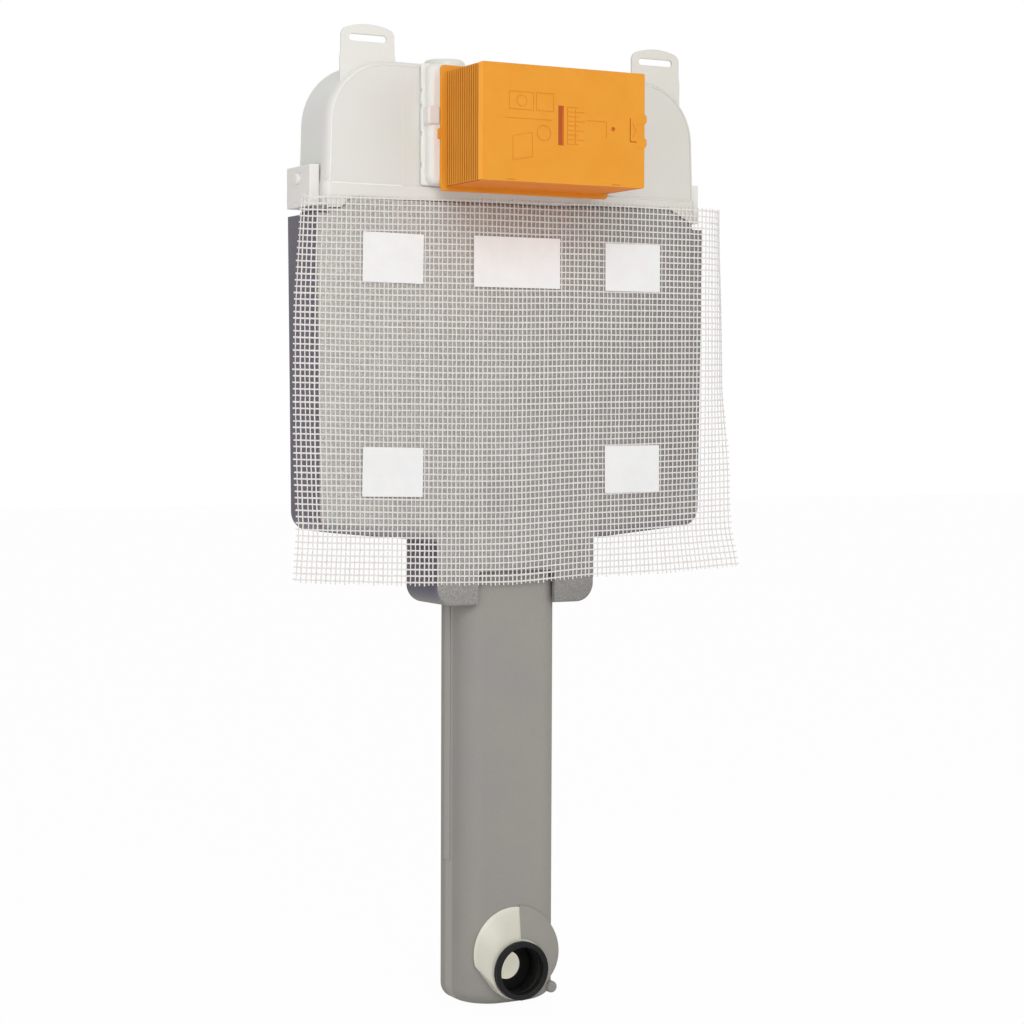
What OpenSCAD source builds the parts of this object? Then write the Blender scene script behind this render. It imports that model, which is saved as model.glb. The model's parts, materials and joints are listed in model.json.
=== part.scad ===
// Slim concealed cistern for building into masonry, with a foam jacket, a plaster net,
// a protective box over the service opening and an insulated flush pipe.
// The origin lies between the two hanging slots, in the middle plane of the hangers.
// The front faces -Y, +X is to the right seen from the front, +Z is up.

/* [Hangers] */
// Distance between the centres of the two hanging slots
slot_spacing = 310; // [306:1:314]
// Width of one hanger
hanger_w = 54; // [50:1:58]
// Height of the hanger above the slot line
hanger_rise = 12.7; // [10:0.1:16]
// Thickness of the hanger
hanger_t = 3; // [2.4:0.1:4]
// End-to-end length of a hanging slot
slot_l = 38; // [30:1:42]
// Width of a hanging slot
slot_w = 6.2; // [5:0.1:8]

/* [Tank] */
// Width of the tank above the shoulder radius
tank_w = 392; // [384:1:396]
// How much wider the tank is at the collar
tank_flare = 8; // [2:1:10]
// Depth of the exposed top of the tank
tank_d = 65; // [62:1:68]
// Distance from the slot line down to the top of the tank
tank_drop = 18.5; // [16:0.5:24]
// Radius of the two upper corners
shoulder_r = 60; // [40:1:80]
// Radius of the rounded edges of the exposed top
edge_r = 7; // [4:0.5:9]
// Wall of the tank
tank_wall = 3; // [2.4:0.1:4]
// Distance from the slot line down to the top of the collar
collar_drop = 133; // [130:1:138]
// Height of the collar
collar_h = 24; // [18:1:26]
// How far the collar stands out at each side
collar_lip = 3; // [2:0.5:3.5]
// How much narrower the tank is at each side inside the jacket
tank_step = 8.4; // [8:0.1:12]
// Distance from the front of the tank back to the middle plane of the hangers
hanger_set = 5; // [4:0.5:8]

/* [Foam jacket] */
// How much narrower the jacket is at its bottom corners
jacket_taper = 6.6; // [0:0.2:8]
// Depth of the jacket
jacket_d = 68; // [67:1:72]
// Thickness of the front and back walls of the jacket
jacket_face = 6; // [5:0.5:7]
// Thickness of the side walls of the jacket
jacket_side = 12; // [8:1:18]
// Distance from the slot line down to the lower corners
jacket_drop = 452; // [440:1:460]
// How much lower the jacket is where it meets the neck
jacket_slope = 15; // [8:1:20]
// Radius of the lower corners
jacket_r = 14; // [8:1:20]
// Width of the neck
neck_w = 171; // [160:1:180]
// Height of the neck below the lower corners
neck_h = 75; // [68:1:82]
// Radius of the corners of the neck
neck_r = 18; // [10:1:24]
// Width of the gap in the front of the neck
neck_gap_w = 83; // [76:1:88]
// Height of the gap in the front of the neck
neck_gap_h = 32; // [20:1:40]

/* [Flush pipe] */
// Outer diameter of the flush pipe
pipe_d = 45; // [42:0.5:46]
// Wall of the flush pipe
pipe_wall = 2; // [1.8:0.1:2.4]
// Distance from the slot line down to the axis of the outlet
outlet_drop = 879.5; // [860:0.5:900]
// Width of the foam cover round the pipe
cover_w = 101; // [92:1:104]
// Depth of the foam cover round the pipe
cover_d = 57; // [56:0.5:58]
// Radius of the front corners of the cover
cover_r = 20; // [12:1:24]
// Distance from the outlet axis down to the end of the cover
cover_foot = 33; // [32:1:40]
// Distance from the slot line down to the end of the joint strips
strip_drop = 777; // [740:1:780]
// Width of the joint strips
strip_w = 14; // [10:1:16]
// Radius of the flared skirt of the bend
skirt_r = 46; // [42:1:48]
// How far the skirt lies above the outlet axis
skirt_rise = 13; // [10:1:14]
// Outer radius of the outlet seal
seal_r = 30; // [29:0.5:31]
// Inner radius of the outlet seal
seal_bore_r = 22.6; // [22:0.1:23.4]
// How far the outlet seal reaches in front of the cover
seal_reach = 17.2; // [15:0.1:20]
// Length of the outlet seal
seal_l = 27; // [22:1:29]
// Radius of the hole in the flow restrictor
restrictor_r = 13.5; // [10:0.5:16]

/* [Protective box] */
// Outer width of the box
box_w = 171; // [166:1:172]
// Outer height of the box
box_h = 106.5; // [104:0.5:108]
// Distance from the slot line down to the middle of the box
box_drop = 80.75; // [80:0.25:81.5]
// Distance from the flange to the front of the lid
box_d = 74.5; // [60:0.5:90]
// Wall of the box
box_wall = 2; // [1.6:0.1:2.2]
// Margin of the flange round the box
flange_edge = 4.5; // [3:0.5:5]
// Thickness of the flange
flange_t = 2.5; // [2:0.1:3]
// Number of ribs on each side of the box
rib_count = 15; // [8:1:16]
// How far the ribs stand out
rib_h = 1; // [0.6:0.1:1.2]
// Depth of the rim of the lid
lid_rim = 8; // [6:0.5:10]
// Thickness of the lid
lid_t = 2.5; // [2:0.1:3]
// Width of the slot in the lid
lid_slot_w = 5.8; // [4.6:0.1:8]
// Height of the slot in the lid
lid_slot_h = 36; // [24:1:44]
// How far the lid can be drawn off
lid_travel = 60; // [40:1:80]

/* [Service opening] */
// Width of the service opening
open_w = 160; // [154:1:160]
// Height of the service opening
open_h = 94; // [90:1:96]
// Outer width of the white frame
frame_w = 208; // [200:1:212]
// How far the white frame stands in front of the tank
frame_d = 14; // [12:0.5:16]

/* [Water inlet] */
// Distance from the middle to the inlet, and to the spare inlet
inlet_x = 62; // [58:1:66]
// Radius of the inlet's threaded bore
inlet_bore_r = 9.3; // [9:0.1:9.6]
// Radius of the cap on the spare inlet
cap_r = 21.5; // [18:0.5:23]
// Height of the cap on the spare inlet
cap_h = 9.5; // [6:0.5:10]
// Turn of the stop valve
stop_turn = 90; // [60:5:90]

/* [Fill valve] */
// Distance from the side of the tank to the column of the fill valve
fill_set = 66; // [62:1:74]
// Radius of the column
column_r = 9; // [7:0.5:10]
// Length of the column
column_l = 170; // [140:5:200]
// Outer radius of the float
float_r = 22; // [18:0.5:22.5]
// Height of the float
float_h = 50; // [40:1:60]
// Travel of the float
float_travel = 12; // [8:1:14]
// Length of the float lever
lever_l = 26; // [24:0.5:28]

/* [Flush valve] */
// Outer radius of the flush valve cage
cage_r = 24; // [23:0.1:24.2]
// Height of the flush valve cage
cage_h = 140; // [120:5:160]
// Outer radius of the overflow tube
overflow_r = 10; // [8:0.5:11]
// Lift of the overflow tube at a full flush
full_lift = 14; // [10:1:14]
// Lift of the float at a half flush
half_lift = 8; // [6:1:10]
// Distance from the middle to each lifting rod
rod_x = 16; // [15:0.5:18]
// Radius of the push pins
pin_r = 4; // [3:0.5:4.5]

/* [Net] */
// Width of the plaster net
net_w = 455; // [440:5:470]
// Height of the plaster net
net_h = 356; // [340:4:360]
// Number of openings across the net
net_columns = 19; // [10:1:22]
// Number of openings down the net
net_rows = 15; // [8:1:18]
// Thickness of the net
net_t = 1; // [0.8:0.1:1.4]
// Width of a tape pad
pad_w = 62; // [50:1:70]
// Height of a tape pad
pad_h = 46; // [40:1:52]
// Width of the plain label
label_w = 93; // [80:1:100]

/* [Fits] */
// Clearance between parts that are put together
fit_gap = 0.3; // [0.2:0.05:0.4]
// Radial clearance of a pin that turns or slides in its hole
run_gap = 0.05; // [0.03:0.01:0.09]

/* [Hidden] */
$fn = 64;
hull_fn = 32;
thin = 0.02;
over = 1;

// Planes from front to back
tank_front = -hanger_set;
tank_back = tank_front + tank_d;
jacket_front_y = tank_front - 1;
jacket_back_y = jacket_front_y + jacket_d;
lower_front = jacket_front_y + jacket_face + fit_gap;
lower_back = jacket_back_y - jacket_face - fit_gap;
axis_y = (lower_front + lower_back) / 2;
upper_in_back = tank_back - tank_wall;
upper_in_front = tank_front + tank_wall;
gasket_t = 1.5;
frame_front = tank_front - frame_d;
flange_front = frame_front - flange_t;
lid_front = flange_front - box_d;
cover_front_y = axis_y - cover_d / 2;
cover_back_y = axis_y + cover_d / 2;

// Levels from top to bottom
tank_top = -tank_drop;
collar_top = -collar_drop;
collar_end = collar_top - collar_h;
box_z = -box_drop;
lower_end = jacket_side - jacket_drop;
neck_drop = jacket_drop + neck_h;
sump_rise = 47;
sump_end = sump_rise - neck_drop;
outlet_z = -outlet_drop;

// Half widths
upper_bottom_half = (tank_w + tank_flare) / 2;
lower_half = upper_bottom_half - tank_step;
jacket_half = lower_half + fit_gap + jacket_side + jacket_taper / 2;
sump_half = neck_w / 2 - 2 * jacket_side;
fill_x = tank_w / 2 - fill_set;

// Collar, with its lower edge as points of x and rise above the lowest level
collar_edge = 0.5;
collar_half = upper_bottom_half + collar_edge;
seam_points = [[-183, 0.5], [-175, 10.5], [98, 11.7], [135, 9], [190, 2.5]];
seam_rise = 11.7;
collar_cut_x = upper_bottom_half - 3.5;
collar_cut_z = collar_end + 2;
clip_set = 11;
clip_rib = 3;
lip_front = tank_front + clip_set + clip_rib;

// Hanger
hanger_r = 8;
hanger_crown = 5;
hanger_flare = 1.5;
hanger_foot = 40;
hanger_waist = 6;

// Flush valve
base_h = 5;
base_gasket_h = 3;
floor_z = sump_end + tank_wall;
base_z = floor_z + base_gasket_h;
seat_z = base_z + base_h;
shank_r = pipe_d / 2 - pipe_wall - fit_gap - 0.2;
shank_wall = 2.4;
shank_l = 33;
nut_h = 9;
nut_r = 27.5;
pipe_top = sump_end - nut_h - 1;
cage_wall = 2;
cage_top = seat_z + cage_h;
seal_h = 2;
disc_h = 4;
rod_r = 2.2;
collar_t = 2;
collar_r = 5;

// Rocking levers
pivot_rise = 18.75;
pivot_set = 7;
pivot_z = box_z + pivot_rise;
pivot_y = tank_front + pivot_set;
pivot_r = 2.5;
hub_r = 5.5;
arm_t = 4;
arm_reach = 27;
fork_from = 18;
fork_gap = 0.6;
down_arm = 22;
down_t = 5;
down_w = 12;
lever_w = 14;
lug_t = 5;
pin_tip = pivot_y - down_t / 2 - fit_gap;
pin_l = 44;
pin_head_r = 6;
pin_head_t = 3;
rod_top = pivot_z + arm_t / 2 + fit_gap;

// Outline of the exposed top, drawn in with the given inset
module top_outline(inset) {
    half = tank_w / 2 - inset;
    wide = upper_bottom_half - inset;
    top = tank_top - inset;
    r = shoulder_r - inset;
    turn = tank_top - shoulder_r;
    polygon([
        [-wide, collar_top + inset], [wide, collar_top + inset], [half, turn], [half - r, turn],
        [half - r, top], [r - half, top], [r - half, turn], [-half, turn]
    ]);
    for (side = [-1, 1])
        translate([side * (half - r), turn]) circle(r);
}

// Slab of an outline that stands upright, from one depth plane to another
module upright(front, back) {
    translate([0, back, 0]) rotate([90, 0, 0]) linear_extrude(back - front) children();
}

module block(low, high) {
    translate(low) cube(high - low);
}

module along_y(r, from, to) {
    translate([0, from, 0]) rotate([-90, 0, 0]) cylinder(r = r, h = to - from);
}

module along_x(r, from, to) {
    translate([from, 0, 0]) rotate([0, 90, 0]) cylinder(r = r, h = to - from);
}

// Exposed top of the tank with edges rounded by steps of one quarter circle
module rounded_top(inset, front, back, r) {
    hull() for (step = [0 : 3]) {
        a = step * 30;
        draw_in = inset + r * (1 - sin(a));
        away = r * (1 - cos(a));
        upright(front + away, front + away + thin) top_outline(draw_in, $fn = hull_fn);
        upright(back - away - thin, back - away) top_outline(draw_in, $fn = hull_fn);
    }
}

// Outline of the part of the tank inside the jacket
module lower_outline(inset) {
    half = lower_half - inset;
    sump = sump_half - inset;
    top = collar_top - tank_wall;
    corner = lower_end + inset;
    slope_end = corner - jacket_slope;
    r = jacket_r - inset;
    polygon([
        [-half, top], [half, top], [half, corner + r], [half - r, corner + r], [half - r, corner],
        [sump, slope_end], [sump, sump_end + inset], [-sump, sump_end + inset], [-sump, slope_end],
        [r - half, corner], [r - half, corner + r], [-half, corner + r]
    ]);
    for (side = [-1, 1])
        translate([side * (half - r), corner + r]) circle(r);
}

// Hanger with an arched head, a little wider where it stands on the tank
module hanger_outline() {
    half = hanger_w / 2;
    inner = half - hanger_r;
    foot = tank_top - hanger_foot;
    waist = tank_top + hanger_waist;
    crown_r = (half * half + hanger_crown * hanger_crown) / (2 * hanger_crown);
    crown_z = hanger_rise - crown_r;
    corner_z = crown_z + sqrt(pow(crown_r - hanger_r, 2) - inner * inner);
    lean = asin(inner / (crown_r - hanger_r));
    arc = [for (k = [-4 : 4]) [crown_r * sin(-k * lean / 4), crown_z + crown_r * cos(k * lean / 4)]];
    polygon(concat(
        [[-half, foot], [half, foot], [half + hanger_flare, tank_top + over], [half, waist]],
        [[half, corner_z], [inner, corner_z]], arc, [[-inner, corner_z], [-half, corner_z]],
        [[-half, waist], [-half - hanger_flare, tank_top + over]]
    ));
    for (side = [-1, 1])
        translate([side * inner, corner_z]) circle(hanger_r);
}

module hanging_slot() {
    r = slot_w / 2;
    square([slot_l - slot_w, slot_w], center = true);
    for (side = [-1, 1])
        translate([side * (slot_l / 2 - r), 0]) circle(r);
}

// Lower edge of the collar, lowered by the given drop
function seam_line(drop) = [for (p = seam_points) [p[0], collar_end + p[1] - drop]];

module collar_outline() {
    polygon(concat(
        [[collar_half, collar_top], [-collar_half, collar_top], [-collar_half, collar_cut_z]],
        [[-collar_cut_x, collar_cut_z], [-collar_cut_x, collar_end]], seam_line(0),
        [[collar_cut_x, collar_end], [collar_cut_x, collar_cut_z], [collar_half, collar_cut_z]]
    ));
}

module tank_shell() {
    color("whitesmoke") difference() {
        union() {
            rounded_top(0, tank_front, tank_back, edge_r);
            upright(lower_front, lower_back) lower_outline(0);
            upright(jacket_front_y, tank_back) collar_outline();
            for (side = [0, 1])
                mirror([side, 0, 0])
                    block(
                        [collar_cut_x, lip_front, collar_cut_z],
                        [upper_bottom_half + collar_lip, tank_back, collar_top]
                    );
            for (side = [-1, 1])
                upright(-hanger_t / 2, hanger_t / 2)
                    translate([side * slot_spacing / 2, 0]) hanger_outline();
        }
        rounded_top(tank_wall, upper_in_front, upper_in_back, edge_r - tank_wall);
        upright(lower_front + tank_wall, lower_back - tank_wall) lower_outline(tank_wall);
        block(
            [-upper_bottom_half + tank_wall, upper_in_front, collar_end + seam_rise + tank_wall],
            [upper_bottom_half - tank_wall, upper_in_back, collar_top + 2 * tank_wall]
        );
        block(
            [-open_w / 2, tank_front - over, box_z - open_h / 2],
            [open_w / 2, upper_in_front + over, box_z + open_h / 2]
        );
        for (side = [-1, 1]) {
            upright(-hanger_t, hanger_t) translate([side * slot_spacing / 2, 0]) hanging_slot();
            translate([side * inlet_x, axis_y, tank_top - tank_wall - over])
                cylinder(r = nipple_r + fit_gap, h = tank_wall + 2 * over);
        }
        translate([0, axis_y, sump_end - over])
            cylinder(r = shank_r + fit_gap, h = tank_wall + 2 * over);
    }
}

// White plate round the service opening, with a raised ring and the catches for the box
catch_w = 13;
catch_h = 17;
catch_t = 2;
catch_rise = 15;
plate_t = 3;
ring_edge = 1;
frame_inset = 1;
gasket_inset = 4;
module service_frame() {
    top = tank_top - frame_inset;
    bottom = collar_top + fit_gap;
    seat = tank_front - gasket_t;
    flange_half = box_w / 2 + flange_edge;
    ring_half = flange_half + ring_edge;
    color("white") difference() {
        union() {
            block([-frame_w / 2, seat - plate_t, bottom], [frame_w / 2, seat, top]);
            block([-ring_half, frame_front, bottom], [ring_half, seat, top]);
            for (side = [-1, 1])
                translate([side * (flange_half + fit_gap + catch_w / 2), 0, box_z + catch_rise])
                    block(
                        [-catch_w / 2, frame_front - catch_t, -catch_h / 2],
                        [catch_w / 2, seat - plate_t + over, catch_h / 2]
                    );
        }
        block(
            [-open_w / 2, frame_front - over, box_z - open_h / 2],
            [open_w / 2, tank_front, box_z + open_h / 2]
        );
    }
}

module frame_gasket() {
    top = tank_top - frame_inset - edge_r;
    bottom = collar_top + fit_gap + frame_inset;
    half = frame_w / 2 - gasket_inset;
    color("dimgray") difference() {
        block([-half, tank_front - gasket_t, bottom], [half, tank_front, top]);
        block(
            [-open_w / 2, tank_front - gasket_t - over, box_z - open_h / 2],
            [open_w / 2, tank_front + over, box_z + open_h / 2]
        );
    }
}

// Side clip that holds the collar down on the jacket
clip_top = -117;
clip_end = -155;
clip_t = 7;
clip_pocket = 12;
boss_r = 4;
boss_h = 1.2;
module side_clip(side) {
    inner = upper_bottom_half + collar_lip + fit_gap;
    outer = inner + clip_t;
    front = tank_front + clip_set;
    near = upper_bottom_half + fit_gap;
    color("white") mirror([side < 0 ? 1 : 0, 0, 0]) difference() {
        union() {
            block([inner, front, clip_end], [outer, tank_back, clip_top]);
            block([near, front, collar_top + fit_gap], [inner + over, tank_back, clip_top]);
            block(
                [collar_half + fit_gap, front, clip_end],
                [inner + over, lip_front - fit_gap, clip_top]
            );
            translate([0, (front + tank_back) / 2, (clip_top + clip_end) / 2])
                along_x(boss_r, outer - over, outer + boss_h);
        }
        block(
            [inner + clip_rib, front + clip_rib, clip_end - over],
            [outer - clip_rib / 2, tank_back - clip_rib, clip_end + clip_pocket]
        );
    }
}

module left_clip() {
    side_clip(-1);
}

module right_clip() {
    side_clip(1);
}

// Slab of the foam jacket with its neck, from one depth plane to another
jacket_step = 4.5;
step_run = 1;
module jacket_slab(front, back) {
    half = jacket_half;
    low = half - jacket_taper / 2;
    neck = neck_w / 2;
    corner = -jacket_drop;
    slope_end = corner - jacket_slope;
    inner = low - jacket_r;
    neck_inner = neck - neck_r;
    neck_turn = neck_r - neck_drop;
    top = collar_end - fit_gap;
    end_top = top - jacket_step;
    union() {
        upright(front, back) polygon(concat(
            [[-half, end_top], [-collar_cut_x - step_run, end_top], [-collar_cut_x, top]], seam_line(fit_gap),
            [[collar_cut_x, top], [collar_cut_x + step_run, end_top], [half, end_top]],
            [[low, corner + jacket_r], [inner, corner + jacket_r], [inner, corner], [neck, slope_end]],
            [[neck, neck_turn], [neck_inner, neck_turn], [neck_inner, -neck_drop]],
            [[-neck_inner, -neck_drop], [-neck_inner, neck_turn], [-neck, neck_turn]],
            [[-neck, slope_end], [-inner, corner], [-inner, corner + jacket_r], [-low, corner + jacket_r]]
        ));
        for (side = [-1, 1]) {
            translate([side * inner, 0, corner + jacket_r]) along_y(jacket_r, front, back);
            translate([side * neck_inner, 0, neck_turn]) along_y(neck_r, front, back);
        }
    }
}

// Room for the tank and, in the neck, for the head of the pipe cover
module jacket_hollow(front, back) {
    upright(front, back) lower_outline(-fit_gap);
    block(
        [-cover_w / 2 - fit_gap, cover_front_y - fit_gap, -neck_drop - over],
        [cover_w / 2 + fit_gap, back, sump_end + over]
    );
}

module jacket_front() {
    split = jacket_back_y - jacket_face;
    color("gray") difference() {
        jacket_slab(jacket_front_y, split);
        jacket_hollow(jacket_front_y + jacket_face, split + over);
        block(
            [-neck_gap_w / 2, jacket_front_y - over, -neck_drop - over],
            [neck_gap_w / 2, cover_front_y + over, neck_gap_h - neck_drop]
        );
    }
}

module jacket_back() {
    split = jacket_back_y - jacket_face;
    color("dimgray") difference() {
        jacket_slab(split, jacket_back_y);
        block(
            [-cover_w / 2 - fit_gap, split - over, -neck_drop - over],
            [cover_w / 2 + fit_gap, cover_back_y + fit_gap, sump_end + over]
        );
    }
}

nipple_r = inlet_bore_r + 1.2;
nipple_up = 8.5;
nipple_down = 6;
cap_step = 2;
module spare_inlet_cap() {
    plug = tank_wall + nipple_down;
    color("white") translate([-inlet_x, axis_y, tank_top]) {
        cylinder(r = cap_r, h = cap_h - cap_step);
        cylinder(r = cap_r - cap_step, h = cap_h);
        translate([0, 0, -plug]) cylinder(r = nipple_r, h = plug + over);
    }
}

module rounded_plate(w, h, r) {
    square([w - 2 * r, h], center = true);
    square([w, h - 2 * r], center = true);
    for (sx = [-1, 1], sz = [-1, 1])
        translate([sx * (w / 2 - r), sz * (h / 2 - r)]) circle(r);
}

box_rim = box_wall + fit_gap;
rib_pitch = (box_d - lid_rim - flange_t) / rib_count;
rib_groove = 0.6;
flange_r = 4;
flange_rim = 5;
flange_lift = 0.8;
tab_w = 2.4;
tab_h = 9;
module protective_box() {
    wall_end = lid_front + lid_t + fit_gap;
    body_w = box_w - 2 * box_rim;
    body_h = box_h - 2 * box_rim;
    color("orange") difference() {
        union() {
            upright(flange_front, frame_front) translate([0, box_z + flange_lift])
                rounded_plate(box_w + 2 * flange_edge, box_h + 2 * flange_rim, flange_r);
            upright(wall_end, flange_front) translate([0, box_z]) square([body_w, body_h], center = true);
            for (side = [-1, 1], i = [0 : rib_count - 1])
                translate([side * (body_w / 2 + rib_h / 2), flange_front - (i + 0.5) * rib_pitch, box_z])
                    cube([rib_h + thin, rib_pitch / 2, body_h - box_wall], center = true);
            block(
                [-box_w / 2 - flange_edge - tab_w, flange_front, box_z - tab_h],
                [-box_w / 2 - flange_edge + over, frame_front, box_z]
            );
        }
        for (side = [-1, 1], i = [1 : rib_count - 1])
            translate([side * body_w / 2, flange_front - i * rib_pitch, box_z])
                cube([2 * rib_groove, rib_pitch * 2 / 5, body_h - 2 * box_wall], center = true);
        upright(lid_front, frame_front + over) translate([0, box_z])
            square([body_w - 2 * box_wall, body_h - 2 * box_wall], center = true);
    }
}

// Drawn-off lid with its slot, its sight hole and the latch tongue at the right edge
groove = 0.9;
latch_x = 70;
latch_h = 22;
grip_h = 6;
grip_t = 1.4;
lid_r = 1.5;
slot_x = -1;
sight_x = 51.5;
sight_r = 2;
notch_x = [-56, 55];
notch_w = 9;
notch_set = 1.4;
module box_lid() {
    back = lid_front + lid_rim;
    half_w = box_w / 2;
    color("orange") difference() {
        union() {
            upright(lid_front, back) translate([0, box_z]) rounded_plate(box_w, box_h, lid_r);
            for (z = [-latch_h / 2, latch_h / 2])
                block(
                    [half_w - over, lid_front + groove, box_z + z - grip_h / 2],
                    [half_w + grip_t, back - over, box_z + z + grip_h / 2]
                );
        }
        upright(lid_front + lid_t, back + over) translate([0, box_z])
            square([box_w - 2 * box_wall, box_h - 2 * box_wall], center = true);
        block(
            [slot_x - lid_slot_w, lid_front - over, box_z - lid_slot_h / 2],
            [slot_x, lid_front + lid_t + over, box_z + lid_slot_h / 2]
        );
        translate([sight_x, 0, box_z]) along_y(sight_r, lid_front - over, lid_front + lid_t + over);
        block(
            [latch_x - groove / 2, lid_front - over, box_z - latch_h / 2],
            [latch_x + groove / 2, lid_front + lid_t + over, box_z + latch_h / 2]
        );
        block(
            [latch_x, lid_front - over, box_z - latch_h / 2],
            [half_w - 2 * box_wall, lid_front + lid_t + over, box_z - latch_h / 2 + groove]
        );
        for (x = notch_x)
            block(
                [x - notch_w / 2, lid_front - over, box_z - box_h / 2 + notch_set],
                [x + notch_w / 2, lid_front + groove, box_z - box_h / 2 + notch_set + groove]
            );
    }
}

// Plate that keeps splashes in and guides the push pins
guard_t = 2.5;
guard_set = 5;
tube_r = pin_r + guard_t;
tube_front = 8;
tube_back = 3;
module splash_guard() {
    front = frame_front + guard_set;
    back = front + guard_t + tube_back;
    color("white") difference() {
        union() {
            block(
                [-open_w / 2 + fit_gap, front, box_z - open_h / 2 + fit_gap],
                [open_w / 2 - fit_gap, front + guard_t, box_z + open_h / 2 - fit_gap]
            );
            for (side = [-1, 1])
                translate([side * rod_x, 0, box_z]) along_y(tube_r, front - tube_front, back);
        }
        for (side = [-1, 1])
            translate([side * rod_x, 0, box_z])
                along_y(pin_r + run_gap, front - tube_front - over, back + over);
    }
}

// Bar across the opening with lugs for the pin of the rocking levers
bridge_h = 7;
lug_half = 4;
lever_edge = rod_x + lever_w / 2;
lever_inner = rod_x - lever_w / 2;
pin_end = lever_edge + lug_t + 3;
module lever_bridge() {
    bar_z = pivot_z + hub_r + 2;
    color("white") difference() {
        union() {
            block([-open_w / 2, tank_front, bar_z], [open_w / 2, pivot_y + over, bar_z + bridge_h]);
            for (lug = [
                [-lever_edge - fit_gap - lug_t, -lever_edge - fit_gap],
                [fit_gap - lever_inner, lever_inner - fit_gap],
                [lever_edge + fit_gap, lever_edge + fit_gap + lug_t]
            ])
                block(
                    [lug[0], pivot_y - lug_half, pivot_z - lug_half - over],
                    [lug[1], pivot_y + lug_half, bar_z + over]
                );
        }
        translate([0, pivot_y, pivot_z]) along_x(pivot_r + run_gap, -pin_end, pin_end);
    }
}

module lever_pin() {
    color("silver") translate([0, pivot_y, pivot_z]) along_x(pivot_r, -pin_end, pin_end);
}

// Rocking lever: the push pin moves its lower arm back and its rear arm lifts a rod
module rocking_lever(x) {
    color("lightgray") translate([x, pivot_y, pivot_z]) difference() {
        union() {
            along_x(hub_r, -lever_w / 2, lever_w / 2);
            block([-down_w / 2, -down_t / 2, -down_arm], [down_w / 2, down_t / 2, 0]);
            block([-lever_w / 2, 0, -arm_t / 2], [lever_w / 2, arm_reach, arm_t / 2]);
        }
        along_x(pivot_r + run_gap, -lever_w, lever_w);
        block([-rod_r - fork_gap, fork_from, -arm_t], [rod_r + fork_gap, arm_reach + over, arm_t]);
    }
}

module full_lever() {
    rocking_lever(rod_x);
}

module half_lever() {
    rocking_lever(-rod_x);
}

module push_pin(x) {
    color("gold") translate([x, 0, box_z]) {
        along_y(pin_r, pin_tip - pin_l, pin_tip);
        along_y(pin_head_r, pin_tip - pin_l, pin_tip - pin_l + pin_head_t);
    }
}

module full_push_pin() {
    push_pin(rod_x);
}

module half_push_pin() {
    push_pin(-rod_x);
}

// Water inlet through the top of the tank
hex_more = 5;
hex_step = 1.5;
washer_t = 1.5;
locknut_set = 2.5;
module inlet_nipple() {
    color("goldenrod") translate([inlet_x, axis_y, tank_top]) difference() {
        union() {
            translate([0, 0, -tank_wall - nipple_down]) {
                cylinder(r = nipple_r, h = tank_wall + nipple_down + nipple_up);
                cylinder(r = nipple_r + hex_more, h = nipple_down - hex_step, $fn = 6);
            }
        }
        translate([0, 0, -tank_wall - nipple_down - over])
            cylinder(r = inlet_bore_r, h = tank_wall + nipple_down + nipple_up + 2 * over);
    }
}

module inlet_washer() {
    color("black") translate([inlet_x, axis_y, tank_top - tank_wall - washer_t]) difference() {
        cylinder(r = nipple_r + hex_more - 1, h = washer_t);
        translate([0, 0, -over]) cylinder(r = nipple_r + fit_gap / 3, h = washer_t + 2 * over);
    }
}

module inlet_locknut() {
    color("goldenrod") translate([inlet_x, axis_y, tank_top]) difference() {
        cylinder(r = nipple_r + hex_more, h = nipple_up - locknut_set, $fn = 6);
        translate([0, 0, -over]) cylinder(r = nipple_r + run_gap, h = nipple_up + 2 * over);
    }
}

valve_top = tank_top - tank_wall - nipple_down;
stop_r = 11;
stop_l = 26;
bonnet_r = 4;
stop_z = valve_top - stop_l / 2;
hose_r = 6;
hose_y = axis_y + 17;
stop_spout = 12;
socket_t = 2;
hose_start_x = inlet_x - stop_r - stop_spout;
spout_l = 30;
hose_end_x = spout_l - fill_x;
fill_drop = 36;
fill_inlet_z = valve_top - fill_drop;
stop_bore_l = 12;
stop_arm = 6;
bonnet_l = 4;
module stop_valve() {
    color("goldenrod") translate([inlet_x, axis_y, 0]) {
        difference() {
            translate([0, 0, valve_top - stop_l]) cylinder(r = stop_r, h = stop_l);
            translate([0, 0, valve_top - stop_bore_l])
                cylinder(r = inlet_bore_r - hex_step, h = stop_bore_l + over);
        }
        translate([0, hose_y - axis_y, stop_z]) along_x(hose_r + socket_t, -stop_r - stop_spout, 0);
        translate([0, 0, stop_z])
            block([-stop_arm, bonnet_r, -stop_arm], [stop_arm, hose_y - axis_y, stop_arm]);
        translate([0, 0, stop_z]) along_y(bonnet_r, -stop_r - bonnet_l, 2 * over - stop_r);
    }
}

stop_knob_r = 9;
knob_front = 4;
knob_skirt = 3;
grip_half = 14;
grip_w = 4;
grip_rise = 3;
module stop_knob() {
    front = axis_y - stop_r - bonnet_l;
    color("orange") translate([inlet_x, 0, stop_z]) difference() {
        union() {
            along_y(stop_knob_r, front - knob_front, front + knob_skirt);
            block(
                [-grip_w, front - knob_front - grip_rise, -grip_half],
                [grip_w, front - knob_front / 2, grip_half]
            );
        }
        along_y(bonnet_r + run_gap, front - run_gap * 4, front + knob_skirt + over);
    }
}

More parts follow.
